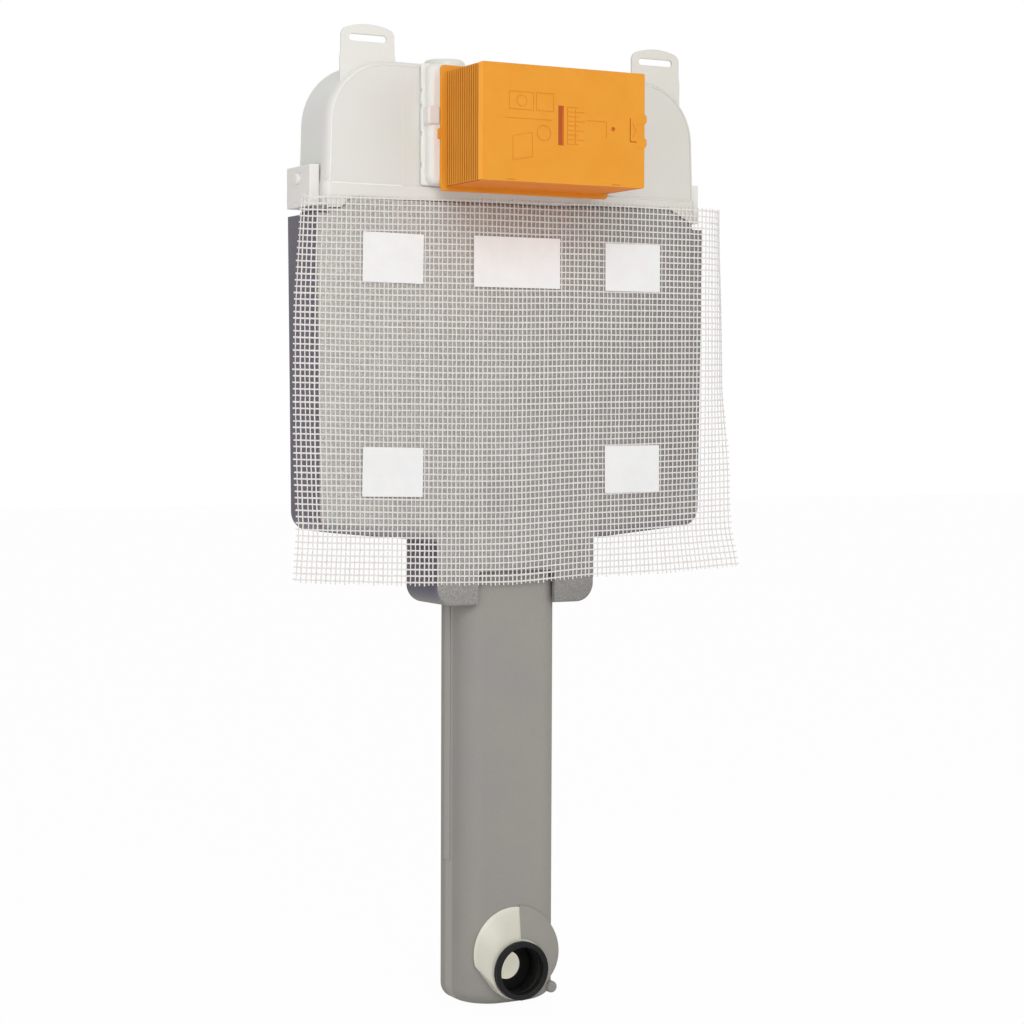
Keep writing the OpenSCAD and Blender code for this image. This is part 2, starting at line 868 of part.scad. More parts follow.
// Braided hose from the stop valve to the fill valve, sagging between its two ends
hose_rings = 24;
hose_sides = 10;
hose_dip = 10;
function hose_x(t) = hose_start_x + (hose_end_x - hose_start_x) * t;
function hose_sag(t) = stop_z + (fill_inlet_z - stop_z) * t * t * (3 - 2 * t)
    - hose_dip * pow(sin(180 * t), 2);
function hose_tilt(t) = atan2(
    hose_sag(min(1, t + 0.01)) - hose_sag(max(0, t - 0.01)),
    hose_x(min(1, t + 0.01)) - hose_x(max(0, t - 0.01))
) + 180;
module supply_hose() {
    points = [
        for (i = [0 : hose_rings], j = [0 : hose_sides - 1])
        let (
            t = i / hose_rings,
            a = 360 * j / hose_sides,
            tilt = i == 0 || i == hose_rings ? 0 : hose_tilt(t)
        )
        [
            hose_x(t) - hose_r * cos(a) * sin(tilt),
            hose_y + hose_r * sin(a),
            hose_sag(t) + hose_r * cos(a) * cos(tilt)
        ]
    ];
    sides = [
        for (i = [0 : hose_rings - 1], j = [0 : hose_sides - 1], half = [0, 1])
        let (
            a = i * hose_sides + j,
            b = i * hose_sides + (j + 1) % hose_sides,
            c = b + hose_sides,
            d = a + hose_sides
        )
        half == 0 ? [a, b, c] : [a, c, d]
    ];
    first = [for (j = [1 : hose_sides - 2]) [0, j + 1, j]];
    last = [
        for (j = [1 : hose_sides - 2])
        [hose_rings * hose_sides, hose_rings * hose_sides + j, hose_rings * hose_sides + j + 1]
    ];
    color("silver") polyhedron(points = points, faces = concat(sides, first, last));
}

// Fill valve with its float
bracket_half = 8;
head_r = 14;
head_h = 20;
head_top = fill_inlet_z + head_h / 2;
column_end = head_top - column_l;
float_set = 22;
float_top = head_top - head_h - float_set - float_travel;
lever_pin_r = 1.5;
lug_x = 9;
lug_w = 7;
lug_gap = 3.6;
lug_h = 12;
lever_pin_z = head_top + lug_h / 2;
foot_edge = 2;
module fill_valve_body() {
    color("white") translate([-fill_x, axis_y, 0]) {
        translate([0, 0, column_end]) cylinder(r = column_r, h = head_top - column_end - over);
        translate([0, 0, head_top - head_h]) cylinder(r = head_r, h = head_h);
        block([-bracket_half, 0, head_top - head_h], [bracket_half, head_r, head_top]);
        block(
            [0, 0, fill_inlet_z - hose_r],
            [head_r + socket_t, hose_y - axis_y + hose_r, fill_inlet_z + hose_r]
        );
        translate([0, hose_y - axis_y, fill_inlet_z]) along_x(hose_r + socket_t, column_r, spout_l);
        translate([0, 0, column_end - foot_edge])
            cylinder(r = column_r + foot_edge, h = foot_edge + over);
        difference() {
            block([lug_x - 5, -lug_w / 2, head_top - over], [lug_x + 5, lug_w / 2, head_top + lug_h]);
            block([0, -lug_gap / 2, head_top], [2 * lug_x, lug_gap / 2, head_top + lug_h + over]);
            translate([lug_x, 0, lever_pin_z]) along_y(lever_pin_r + run_gap, -lug_w, lug_w);
        }
    }
}

module fill_valve_bracket() {
    color("gainsboro") translate([-fill_x, 0, 0])
        block(
            [-bracket_half, axis_y + head_r + thin / 2, head_top - head_h + foot_edge],
            [-over, upper_in_back, head_top - foot_edge]
        );
}

link_r = 1.6;
eye_r = 4;
bar_half = 1.5;
fork_l = 6;
fork_root = 8;
fork_play = 0.5;
module float_lever() {
    slit = link_r + fork_play;
    color("lightgray") translate([-fill_x + lug_x, axis_y, lever_pin_z]) difference() {
        union() {
            along_y(eye_r, -bar_half, bar_half);
            block([-lever_l, -bar_half, -bar_half], [0, bar_half, bar_half]);
            block([-lever_l - fork_l, -eye_r, -bar_half], [-lever_l + fork_root, eye_r, bar_half]);
        }
        along_y(lever_pin_r + run_gap, -lug_w, lug_w);
        block([-lever_l - fork_root, -slit, -eye_r], [-lever_l + fork_root / 2, slit, eye_r]);
    }
}

module float_lever_pin() {
    color("silver") translate([-fill_x + lug_x, axis_y, lever_pin_z]) along_y(lever_pin_r, -5, 5);
}

link_over = 8;
stop_under = 6.5;
stop_above = 4.5;
stop_disc_r = 3;
stop_disc_t = 2;
module float_cup() {
    link_x = lug_x - lever_l;
    link_top = lever_pin_z + link_over;
    color("snow") translate([-fill_x, axis_y, 0]) {
        difference() {
            translate([0, 0, float_top - float_h]) cylinder(r = float_r, h = float_h);
            translate([0, 0, float_top - float_h - over])
                cylinder(r = column_r + fit_gap, h = float_h + 2 * over);
        }
        translate([link_x, 0, float_top - 1]) cylinder(r = link_r, h = link_top - float_top + 1);
        for (z = [lever_pin_z - stop_under, lever_pin_z + stop_above])
            translate([link_x, 0, z]) cylinder(r = stop_disc_r, h = stop_disc_t);
    }
}

// Flush valve on the floor of the tank
window_w = 22;
window_h = 44;
window_set = 8;
cage_lid = 3;
module valve_cage() {
    bottom = seat_z;
    color("white") translate([0, axis_y, 0]) difference() {
        union() {
            difference() {
                translate([0, 0, bottom]) cylinder(r = cage_r, h = cage_h);
                translate([0, 0, bottom - over]) cylinder(r = cage_r - cage_wall, h = cage_h + 2 * over);
            }
            translate([0, 0, cage_top - cage_lid]) cylinder(r = cage_r, h = cage_lid);
        }
        for (turn = [45, 135])
            rotate([0, 0, turn])
                block(
                    [-cage_r - over, -window_w / 2, bottom + window_set],
                    [cage_r + over, window_w / 2, bottom + window_set + window_h]
                );
        translate([0, 0, cage_top - cage_lid - over])
            cylinder(r = overflow_r + fit_gap, h = cage_lid + 2 * over);
        for (side = [-1, 1])
            translate([side * rod_x, 0, cage_top - cage_lid - over])
                cylinder(r = rod_r + fit_gap, h = cage_lid + 2 * over);
    }
}

module valve_base() {
    color("white") translate([0, axis_y, 0]) difference() {
        union() {
            translate([0, 0, base_z]) cylinder(r = cage_r, h = base_h);
            translate([0, 0, sump_end - shank_l])
                cylinder(r = shank_r, h = base_z - sump_end + shank_l + over);
        }
        translate([0, 0, sump_end - shank_l - over])
            cylinder(r = shank_r - shank_wall, h = seat_z - sump_end + shank_l + 2 * over);
    }
}

module base_gasket() {
    color("black") translate([0, axis_y, floor_z]) difference() {
        cylinder(r = cage_r, h = base_gasket_h);
        translate([0, 0, -over]) cylinder(r = shank_r + fit_gap, h = base_gasket_h + 2 * over);
    }
}

module outlet_nut() {
    color("white") translate([0, axis_y, sump_end - nut_h]) difference() {
        union() {
            cylinder(r = nut_r - 2, h = nut_h);
            cylinder(r = nut_r, h = nut_h, $fn = 8);
        }
        translate([0, 0, -over]) cylinder(r = shank_r + run_gap, h = nut_h + 2 * over);
    }
}

// The tube, its foot disc and the arm with the rod of the full flush
tube_top = -150;
disc_r = shank_r - shank_wall + 2.5;
tube_wall = 1.6;
tube_arm_w = 4;
tube_arm_drop = 6;
module overflow_tube() {
    color("aliceblue") translate([0, axis_y, 0]) difference() {
        union() {
            translate([0, 0, seat_z + seal_h]) cylinder(r = disc_r, h = disc_h);
            translate([0, 0, seat_z + seal_h]) cylinder(r = overflow_r, h = tube_top - seat_z - seal_h);
            block(
                [0, -tube_arm_w, tube_top - 2 * tube_arm_drop],
                [rod_x + tube_arm_w, tube_arm_w, tube_top - tube_arm_drop]
            );
            translate([rod_x, 0, tube_top - tube_arm_drop - over])
                cylinder(r = rod_r, h = rod_top + collar_t - tube_top + tube_arm_drop + over);
            translate([rod_x, 0, rod_top]) cylinder(r = collar_r, h = collar_t);
        }
        translate([0, 0, seat_z]) cylinder(r = overflow_r - tube_wall, h = tube_top - seat_z + over);
    }
}

module flush_seal() {
    color("black") translate([0, axis_y, seat_z + 0.01]) difference() {
        cylinder(r = disc_r, h = seal_h - 0.01);
        translate([0, 0, -over]) cylinder(r = overflow_r - tube_wall, h = seal_h + 2 * over);
    }
}

half_h = 60;
half_r = cage_r - cage_wall - 0.8;
half_room = 2;
half_z = cage_top - cage_lid - half_lift - half_room - half_h;
module half_float() {
    color("lightblue") translate([0, axis_y, 0]) {
        difference() {
            translate([0, 0, half_z]) cylinder(r = half_r, h = half_h);
            translate([0, 0, half_z - over]) cylinder(r = overflow_r + fit_gap, h = half_h + 2 * over);
        }
        translate([-rod_x, 0, half_z + half_h - over])
            cylinder(r = rod_r, h = rod_top + collar_t - half_z - half_h + over);
        translate([-rod_x, 0, rod_top]) cylinder(r = collar_r, h = collar_t);
    }
}

// Flush pipe and bend
bend_wall = 3;
elbow_r = pipe_d / 2 + bend_wall;
elbow_bore = pipe_d / 2 - pipe_wall;
socket_bore = pipe_d / 2 + 0.2;
socket_l = 40;
seat_r = seal_bore_r + 3.2;
seal_seat = seat_r + fit_gap;
seal_end = cover_front_y - seal_reach;
rim_t = 4;
socket_out = seal_seat + 2.5;
socket_depth = seal_l - rim_t + 2.5;
skirt_t = 7;
pipe_seat = 12;
module flush_pipe() {
    low = outlet_z + elbow_r + pipe_seat;
    color("whitesmoke") translate([0, axis_y, low]) difference() {
        cylinder(r = pipe_d / 2, h = pipe_top - low);
        translate([0, 0, -over]) cylinder(r = pipe_d / 2 - pipe_wall, h = pipe_top - low + 2 * over);
    }
}

// Flared skirt in front of the cover, wider and higher than the outlet, cut at its lower corners
module skirt(grow, back) {
    reach = seal_end + rim_t;
    hull() {
        translate([0, 0, skirt_rise]) along_y(skirt_r + grow, cover_front_y - skirt_t, back, $fn = 48);
        along_y(socket_out + grow, reach, reach + 1, $fn = 48);
    }
}

cut_level = 3;
cut_set = 8;
cut_foot = 9;
module skirt_cut() {
    wide = skirt_r + cut_foot;
    near = skirt_r - cut_set;
    foot = -socket_out - cut_level;
    upright(seal_end - 2 * over, cover_front_y + over) polygon([
        [-wide, cut_level], [-near, cut_level], [-cut_foot, foot], [cut_foot, foot],
        [near, cut_level], [wide, cut_level], [wide, -2 * skirt_r], [-wide, -2 * skirt_r]
    ]);
}

module flush_bend() {
    reach = seal_end + rim_t;
    color("cornsilk") translate([0, 0, outlet_z]) difference() {
        union() {
            translate([0, axis_y, 0]) sphere(elbow_r);
            translate([0, axis_y, 0]) cylinder(r = elbow_r, h = elbow_r + socket_l);
            along_y(elbow_r, reach + socket_depth, axis_y);
            along_y(socket_out, reach, reach + socket_depth + 2);
            difference() {
                skirt(0, cover_front_y - fit_gap);
                skirt_cut();
            }
        }
        translate([0, axis_y, 0]) sphere(elbow_bore);
        translate([0, axis_y, 0]) cylinder(r = elbow_bore, h = elbow_r + socket_l + over);
        translate([0, axis_y, elbow_r + pipe_seat]) cylinder(r = socket_bore, h = socket_l);
        along_y(elbow_bore, reach + 1, axis_y);
        along_y(seal_seat, reach - over, reach + socket_depth);
    }
}

// Lip seal, turned in one profile about the outlet axis
module outlet_seal() {
    color("black") translate([0, seal_end, outlet_z]) rotate([-90, 0, 0]) rotate_extrude() polygon([
        [seal_bore_r, 0], [seal_r - 1.2, 0], [seal_r, 1.2], [seal_r, rim_t - 1], [seal_r - 1, rim_t],
        [seat_r, rim_t], [seat_r, seal_l], [seal_bore_r, seal_l]
    ]);
}

module flow_restrictor() {
    color("black") translate([0, seal_end + seal_l, outlet_z]) difference() {
        along_y(seat_r, 0, 2);
        along_y(restrictor_r, -over, 2 + over);
    }
}

// Foam cover round the pipe and the bend, in two halves
strip_set = 42;
strip_mid = cover_front_y + strip_set;
back_r = 2.5;
module cover_profile() {
    half = cover_w / 2;
    translate([cover_r - half, cover_front_y]) square([cover_w - 2 * cover_r, cover_d]);
    translate([-half, cover_front_y + cover_r]) square([cover_w, cover_d - cover_r - back_r]);
    translate([back_r - half, cover_front_y + cover_r]) square([cover_w - 2 * back_r, cover_d - cover_r]);
    for (side = [-1, 1]) {
        translate([side * (half - cover_r), cover_front_y + cover_r]) circle(cover_r);
        translate([side * (half - back_r), cover_back_y - back_r]) circle(back_r);
    }
}

cover_top = pipe_top - 4;
cover_low = outlet_drop + 2 * cover_foot;
foot_r = 17;
module cover_body() {
    end = outlet_z - cover_foot;
    half = cover_w / 2;
    intersection() {
        translate([0, 0, end]) linear_extrude(cover_top - end) cover_profile();
        upright(cover_front_y - over, cover_back_y + over) {
            translate([-half, end + foot_r]) square([cover_w, cover_top - end]);
            translate([foot_r - half, end]) square([cover_w - 2 * foot_r, foot_r + 1]);
            for (side = [-1, 1])
                translate([side * (half - foot_r), end + foot_r]) circle(foot_r);
        }
    }
}

module pipe_room() {
    room = elbow_r + fit_gap;
    translate([0, axis_y, outlet_z]) {
        sphere(room);
        cylinder(r = room, h = elbow_r + socket_l + 1);
        cylinder(r = pipe_d / 2 + fit_gap, h = cover_top - outlet_z + over);
    }
    translate([0, 0, outlet_z]) {
        along_y(room, cover_front_y - over, axis_y);
        along_y(socket_out + fit_gap, cover_front_y - over, seal_end + rim_t + socket_depth + 3);
    }
}

// The right half of a shell over the skirt belongs to the front half of the cover
hood_t = 3.5;
hood_from = 2;
module outlet_hood() {
    translate([0, 0, outlet_z]) difference() {
        intersection() {
            skirt(hood_t, cover_front_y + over);
            block(
                [hood_from, seal_end + rim_t - over, -cover_foot],
                [skirt_r + cut_foot, cover_front_y + over, skirt_r + skirt_rise + cut_foot]
            );
        }
        skirt(fit_gap, cover_front_y + fit_gap);
        along_y(seal_r + fit_gap, seal_end - over, seal_end + rim_t + fit_gap);
    }
}

knob_r = 5.5;
knob_rise = 7;
module pipe_cover_front() {
    split = strip_mid;
    color("darkgray") difference() {
        union() {
            intersection() {
                cover_body();
                block([-cover_w, cover_front_y - over, -cover_low], [cover_w, split, 0]);
            }
            outlet_hood();
            translate([cover_w / 2 - knob_r / 2, 0, outlet_z - cover_foot + knob_rise])
                along_y(knob_r, cover_front_y - over, cover_front_y + cover_r + knob_r);
        }
        pipe_room();
    }
}

module pipe_cover_back() {
    split = strip_mid;
    color("darkgray") difference() {
        intersection() {
            cover_body();
            block([-cover_w, split, -cover_low], [cover_w, cover_back_y + over, 0]);
        }
        pipe_room();
    }
}

strip_t = 1.2;
module cover_strips() {
    color("gray") for (side = [-1, 1])
        translate([side * (cover_w / 2 + strip_t / 2), 0, 0])
            block(
                [-strip_t / 2, strip_mid - strip_w / 2, -strip_drop],
                [strip_t / 2, strip_mid + strip_w / 2, -neck_drop - fit_gap]
            );
}

// Open net over the jacket, with the pads that hold it
net_front = jacket_front_y - fit_gap - net_t;
net_top = -146;
strand = 2;
net_shift = 4;
module plaster_net() {
    step_x = (net_w - strand) / net_columns;
    step_z = (net_h - strand) / net_rows;
    color("white") upright(net_front, net_front + net_t) difference() {
        translate([net_shift - net_w / 2, net_top - net_h]) square([net_w, net_h]);
        for (i = [0 : net_columns - 1], j = [0 : net_rows - 1])
            translate([net_shift - net_w / 2 + strand + i * step_x, net_top - net_h + strand + j * step_z])
                square([step_x - strand, step_z - strand]);
    }
}

pad_t = 0.6;
pad_x = 129;
pad_z = [-201, -399];
pad_shift = -3;
module tape_pads() {
    color("snow") for (x = [-pad_x, pad_x], z = pad_z)
        block(
            [x + pad_shift - pad_w / 2, net_front - pad_t, z - pad_h / 2],
            [x + pad_shift + pad_w / 2, net_front, z + pad_h / 2]
        );
}

label_more = 1;
module plain_label() {
    color("snow") block(
        [pad_shift / 2 - label_w / 2, net_front - pad_t, pad_z[0] - pad_h / 2 - label_more],
        [pad_shift / 2 + label_w / 2, net_front, pad_z[0] + pad_h / 2 + label_more]
    );
}

tank_shell();
service_frame();
frame_gasket();
left_clip();
right_clip();
jacket_front();
jacket_back();
spare_inlet_cap();
protective_box();
box_lid();
splash_guard();
lever_bridge();
lever_pin();
full_lever();
half_lever();
full_push_pin();
half_push_pin();
inlet_nipple();
inlet_locknut();
inlet_washer();
stop_valve();
stop_knob();
supply_hose();
fill_valve_body();
fill_valve_bracket();
float_cup();
float_lever();
float_lever_pin();
valve_cage();
valve_base();
base_gasket();
outlet_nut();
overflow_tube();
flush_seal();
half_float();
flush_pipe();
flush_bend();
outlet_seal();
flow_restrictor();
pipe_cover_front();
pipe_cover_back();
cover_strips();
plaster_net();
tape_pads();
plain_label();
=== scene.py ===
"""Looks of a slim concealed toilet cistern: milky tank, foam jacket, plaster net, box and pipe."""
import json
import math
import random

import bmesh
import bpy
from mathutils import Matrix, Vector, noise
from mathutils.geometry import tessellate_polygon


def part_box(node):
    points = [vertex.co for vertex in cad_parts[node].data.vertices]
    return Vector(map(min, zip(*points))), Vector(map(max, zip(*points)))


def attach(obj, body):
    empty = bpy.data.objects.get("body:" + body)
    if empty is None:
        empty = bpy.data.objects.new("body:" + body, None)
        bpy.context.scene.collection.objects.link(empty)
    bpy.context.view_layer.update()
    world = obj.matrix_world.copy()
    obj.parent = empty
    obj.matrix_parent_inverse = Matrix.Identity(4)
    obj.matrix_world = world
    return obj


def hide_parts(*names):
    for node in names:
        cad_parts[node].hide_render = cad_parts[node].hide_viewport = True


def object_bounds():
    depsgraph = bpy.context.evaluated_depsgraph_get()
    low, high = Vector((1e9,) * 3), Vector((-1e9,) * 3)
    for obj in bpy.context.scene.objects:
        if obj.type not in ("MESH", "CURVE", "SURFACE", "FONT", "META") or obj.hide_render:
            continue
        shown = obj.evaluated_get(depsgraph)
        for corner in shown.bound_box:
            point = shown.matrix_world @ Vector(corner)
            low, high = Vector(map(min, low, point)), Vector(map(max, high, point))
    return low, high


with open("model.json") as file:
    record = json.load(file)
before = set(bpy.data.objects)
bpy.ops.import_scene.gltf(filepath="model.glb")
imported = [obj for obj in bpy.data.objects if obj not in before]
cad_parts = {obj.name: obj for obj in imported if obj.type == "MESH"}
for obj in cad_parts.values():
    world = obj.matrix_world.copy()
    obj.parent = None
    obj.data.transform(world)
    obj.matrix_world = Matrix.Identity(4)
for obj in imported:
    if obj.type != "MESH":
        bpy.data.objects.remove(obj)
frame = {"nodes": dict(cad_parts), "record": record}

MM = 0.001
CAD_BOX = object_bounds()


def box_mm(node):
    """Lowest and highest corner of a node, in millimetres."""
    low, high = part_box(node)
    return low / MM, high / MM


def new_object(name, data):
    made = bpy.data.objects.new(name, data)
    bpy.context.scene.collection.objects.link(made)
    return made


# Camera, fitted to the photograph, in metres and degrees
CAMERA_PLACE = (-1.0768, -2.0102, -0.346)
CAMERA_YAW = 28.127
CAMERA_PITCH = -2.336
CAMERA_ROLL = 0.212
CAMERA_LENS = 83.65

data = bpy.data.cameras.new("camera")
data.sensor_width = 36.0
data.lens = CAMERA_LENS
data.clip_end = 50
yaw, pitch, roll = (math.radians(a) for a in (CAMERA_YAW, CAMERA_PITCH, CAMERA_ROLL))
forward = (math.sin(yaw) * math.cos(pitch), math.cos(yaw) * math.cos(pitch), math.sin(pitch))
right = Vector((math.cos(yaw), -math.sin(yaw), 0))
up = right.cross(forward)
turn = Matrix((
    right * math.cos(roll) + up * math.sin(roll),
    up * math.cos(roll) - right * math.sin(roll),
    -Vector(forward),
)).transposed()
camera = new_object("camera", data)
camera.matrix_world = Matrix.Translation(CAMERA_PLACE) @ turn.to_4x4()
bpy.context.scene.camera = camera


# Outlines and solids

def rounded(corners, steps):
    """Closed outline through (x, z, radius) corners, each turned by an arc of its radius."""
    points = []
    for i, (x, z, r) in enumerate(corners):
        here = Vector((x, z))
        if r <= 0:
            points.append(here)
            continue
        before = (Vector(corners[i - 1][:2]) - here).normalized()
        after = (Vector(corners[(i + 1) % len(corners)][:2]) - here).normalized()
        half = before.angle(after) / 2
        middle = here + (before + after).normalized() * (r / math.sin(half))
        start = here + before * (r / math.tan(half)) - middle
        end = here + after * (r / math.tan(half)) - middle
        turn = math.atan2(start.x * end.y - start.y * end.x, start.dot(end))
        for k in range(steps + 1):
            a = turn * k / steps
            points.append(middle + Vector((
                start.x * math.cos(a) - start.y * math.sin(a),
                start.x * math.sin(a) + start.y * math.cos(a),
            )))
    return points


def rectangle(x0, z0, x1, z1, r=0.0, steps=6):
    return rounded([(x0, z0, r), (x1, z0, r), (x1, z1, r), (x0, z1, r)], steps)


def flank(side, x0, z0, x1, z1, r=0.0, steps=6):
    """Rectangle at the right, or its mirror image at the left when the side is -1."""
    x0, x1 = sorted((side * x0, side * x1))
    return rectangle(x0, z0, x1, z1, r, steps)


def ring(x, z, r, steps=32):
    turns = [math.tau * i / steps for i in range(steps)]
    return [(x + r * math.cos(a), z + r * math.sin(a)) for a in turns]


def arc(centre, r, start, end, steps=6):
    """Points of an arc between two angles in degrees."""
    turns = [math.radians(start + (end - start) * k / steps) for k in range(steps + 1)]
    return [(centre[0] + r * math.cos(a), centre[1] + r * math.sin(a)) for a in turns]


def area(loop):
    return sum(a.x * b.y - b.x * a.y for a, b in zip(loop, loop[1:] + loop[:1])) / 2


def moved_in(loop, d):
    """The loop moved by d into the material, which lies on its left."""
    out = []
    for i, here in enumerate(loop):
        a = (here - loop[i - 1]).normalized()
        b = (loop[(i + 1) % len(loop)] - here).normalized()
        side = Vector((-a.y - b.y, a.x + b.x))
        out.append(here + side * (d / max(0.3, 1 + a.dot(b))))
    return out


def rim_steps(front, back, front_r, back_r, steps, stretch):
    """Depths and insets of a slab whose rims are rounded, the front one deeper by the stretch."""
    rings = []
    for edge, r, way in ((front, front_r, stretch), (back, back_r, -1)):
        count = steps if r > 0 else 0
        turns = [math.pi / 2 * k / max(1, count) for k in range(count + 1)]
        part = [(edge + way * r * (1 - math.sin(a)), r * (1 - math.cos(a))) for a in turns]
        rings += part[::-1] if way > 0 else part
    return rings


def object_of(points, faces):
    """Mesh object from points in millimetres."""
    mesh = bpy.data.meshes.new("part")
    mesh.from_pydata([Vector(p) * MM for p in points], [], faces)
    work = bmesh.new()
    work.from_mesh(mesh)
    bmesh.ops.remove_doubles(work, verts=work.verts, dist=1e-7)
    bmesh.ops.recalc_face_normals(work, faces=work.faces)
    work.to_mesh(mesh)
    work.free()
    return new_object("part", mesh)


def tube_faces(points, n):
    """Sides and ends of a tube through rings of n points."""
    last = len(points) - n
    faces = [
        (k + i, k + (i + 1) % n, k + n + (i + 1) % n, k + n + i)
        for k in range(0, last, n) for i in range(n)
    ]
    return [*faces, tuple(range(n)), tuple(range(last, last + n))]


def slab(outline, front, back, front_r=0.0, back_r=0.0, steps=4, axis="y", stretch=1.0, holes=()):
    """Solid between two planes across an axis."""
    turned = []
    for i, loop in enumerate([outline, *holes]):
        loop = [Vector(p) for p in loop]
        turned.append(loop if (area(loop) > 0) == (i == 0) else loop[::-1])
    points = []
    faces = []
    rings = [
        (depth, [moved_in(loop, inset) for loop in turned])
        for depth, inset in rim_steps(front, back, front_r, back_r, steps, stretch)
    ]
    for depth, loops in rings:
        points += [(p.x, p.y, depth) for loop in loops for p in loop]
    per_ring = sum(len(loop) for loop in turned)
    last = len(points) - per_ring
    for start in range(0, last, per_ring):
        for loop in turned:
            n = len(loop)
            for i in range(n):
                a, b = start + i, start + (i + 1) % n
                faces.append((a, b, b + per_ring, a + per_ring))
            start += n
    for base, loops in ((0, rings[0][1]), (last, rings[-1][1])):
        flat = [[p.to_3d() for p in loop] for loop in loops]
        faces += [tuple(base + i for i in t) for t in tessellate_polygon(flat)]
    order = {"x": (2, 0, 1), "y": (0, 2, 1), "z": (0, 1, 2)}[axis]
    return object_of([[p[i] for i in order] for p in points], faces)


def turned_solid(profile, centre, upright=False, steps=96):
    """Solid of revolution about Y, or Z when upright, from a closed loop of (along, radius)."""
    points = []
    faces = []
    n = len(profile)
    for i in range(steps):
        a = math.tau * i / steps
        for along, r in profile:
            u, v = r * math.cos(a), r * math.sin(a)
            offset = (u, v, along) if upright else (u, along, v)
            points.append([c + o for c, o in zip(centre, offset)])
        for k in range(n):
            j = (i + 1) % steps
            faces.append((i * n + k, i * n + (k + 1) % n, j * n + (k + 1) % n, j * n + k))
    return object_of(points, faces)


def add(piece, *others, how="UNION"):
    """Unites the piece with other solids and removes them."""
    for other in others:
        step = piece.modifiers.new("step", "BOOLEAN")
        step.operation = how
        step.solver = "MANIFOLD"
        step.object = other
        bpy.context.view_layer.update()
        graph = bpy.context.evaluated_depsgraph_get()
        mesh = bpy.data.meshes.new_from_object(piece.evaluated_get(graph))
        piece.modifiers.clear()
        piece.data = mesh
        bpy.data.objects.remove(other)
    return piece


def cut(piece, *tools):
    return add(piece, *tools, how="DIFFERENCE")


def put(piece, *shape, **more):
    """Adds one slab to the piece."""
    return add(piece, slab(*shape, **more))


def carve(piece, *shape, **more):
    """Cuts one slab out of the piece."""
    return cut(piece, slab(*shape, **more))


# Places and sizes that several pieces share, in millimetres

SHOULDER_R = 60
TOP_HALF = 196
TANK_WALL = 3
EDGE_R = 7
FIT = 0.3
tank_lo, tank_hi = box_mm("tank_shell")
clip_lo = box_mm("left_clip")[0]
frame_lo, frame_hi = box_mm("service_frame")
jacket_lo, jacket_hi = box_mm("jacket_front")
guard_lo, guard_hi = box_mm("splash_guard")
box_lo, box_hi = box_mm("protective_box")
lid_lo, lid_hi = box_mm("box_lid")
LID_HALF = -lid_lo.x
LID_RIM = 8
BOX_Z = (lid_lo.z + lid_hi.z) / 2
COLLAR_TOP = frame_lo.z - FIT
TANK_TOP = frame_hi.z + 1
NECK_HALF = 85.5
SLOPE_END = jacket_lo.z + 61.5
TANK_FRONT = tank_lo.y + 1
COLLAR_HALF = tank_hi.x - 3
SLOT_X = 155
HANGER_HALF = 27
NET_PITCH_X = 4.76
NET_PITCH_Z = 5.95


# Materials

def linear(colour):
    """Linear colour from the 0 to 255 values of a screen colour."""
    return tuple(
        c / 12.92 if c <= 0.04045 else ((c + 0.055) / 1.055) ** 2.4
        for c in (v / 255 for v in colour)
    ) + (1.0,)


BLACK = (0, 0, 0)


def add_node(tree, kind, feeds, output, **settings):
    """Output of a new node, with values or other nodes' outputs fed into its sockets."""
    made = tree.nodes.new("ShaderNode" + kind)
    for name, value in settings.items():
        setattr(made, name, value)
    for socket, value in feeds.items():
        if isinstance(value, bpy.types.NodeSocket):
            tree.links.new(value, made.inputs[socket])
        else:
            made.inputs[socket].default_value = value
    return made.outputs[output]


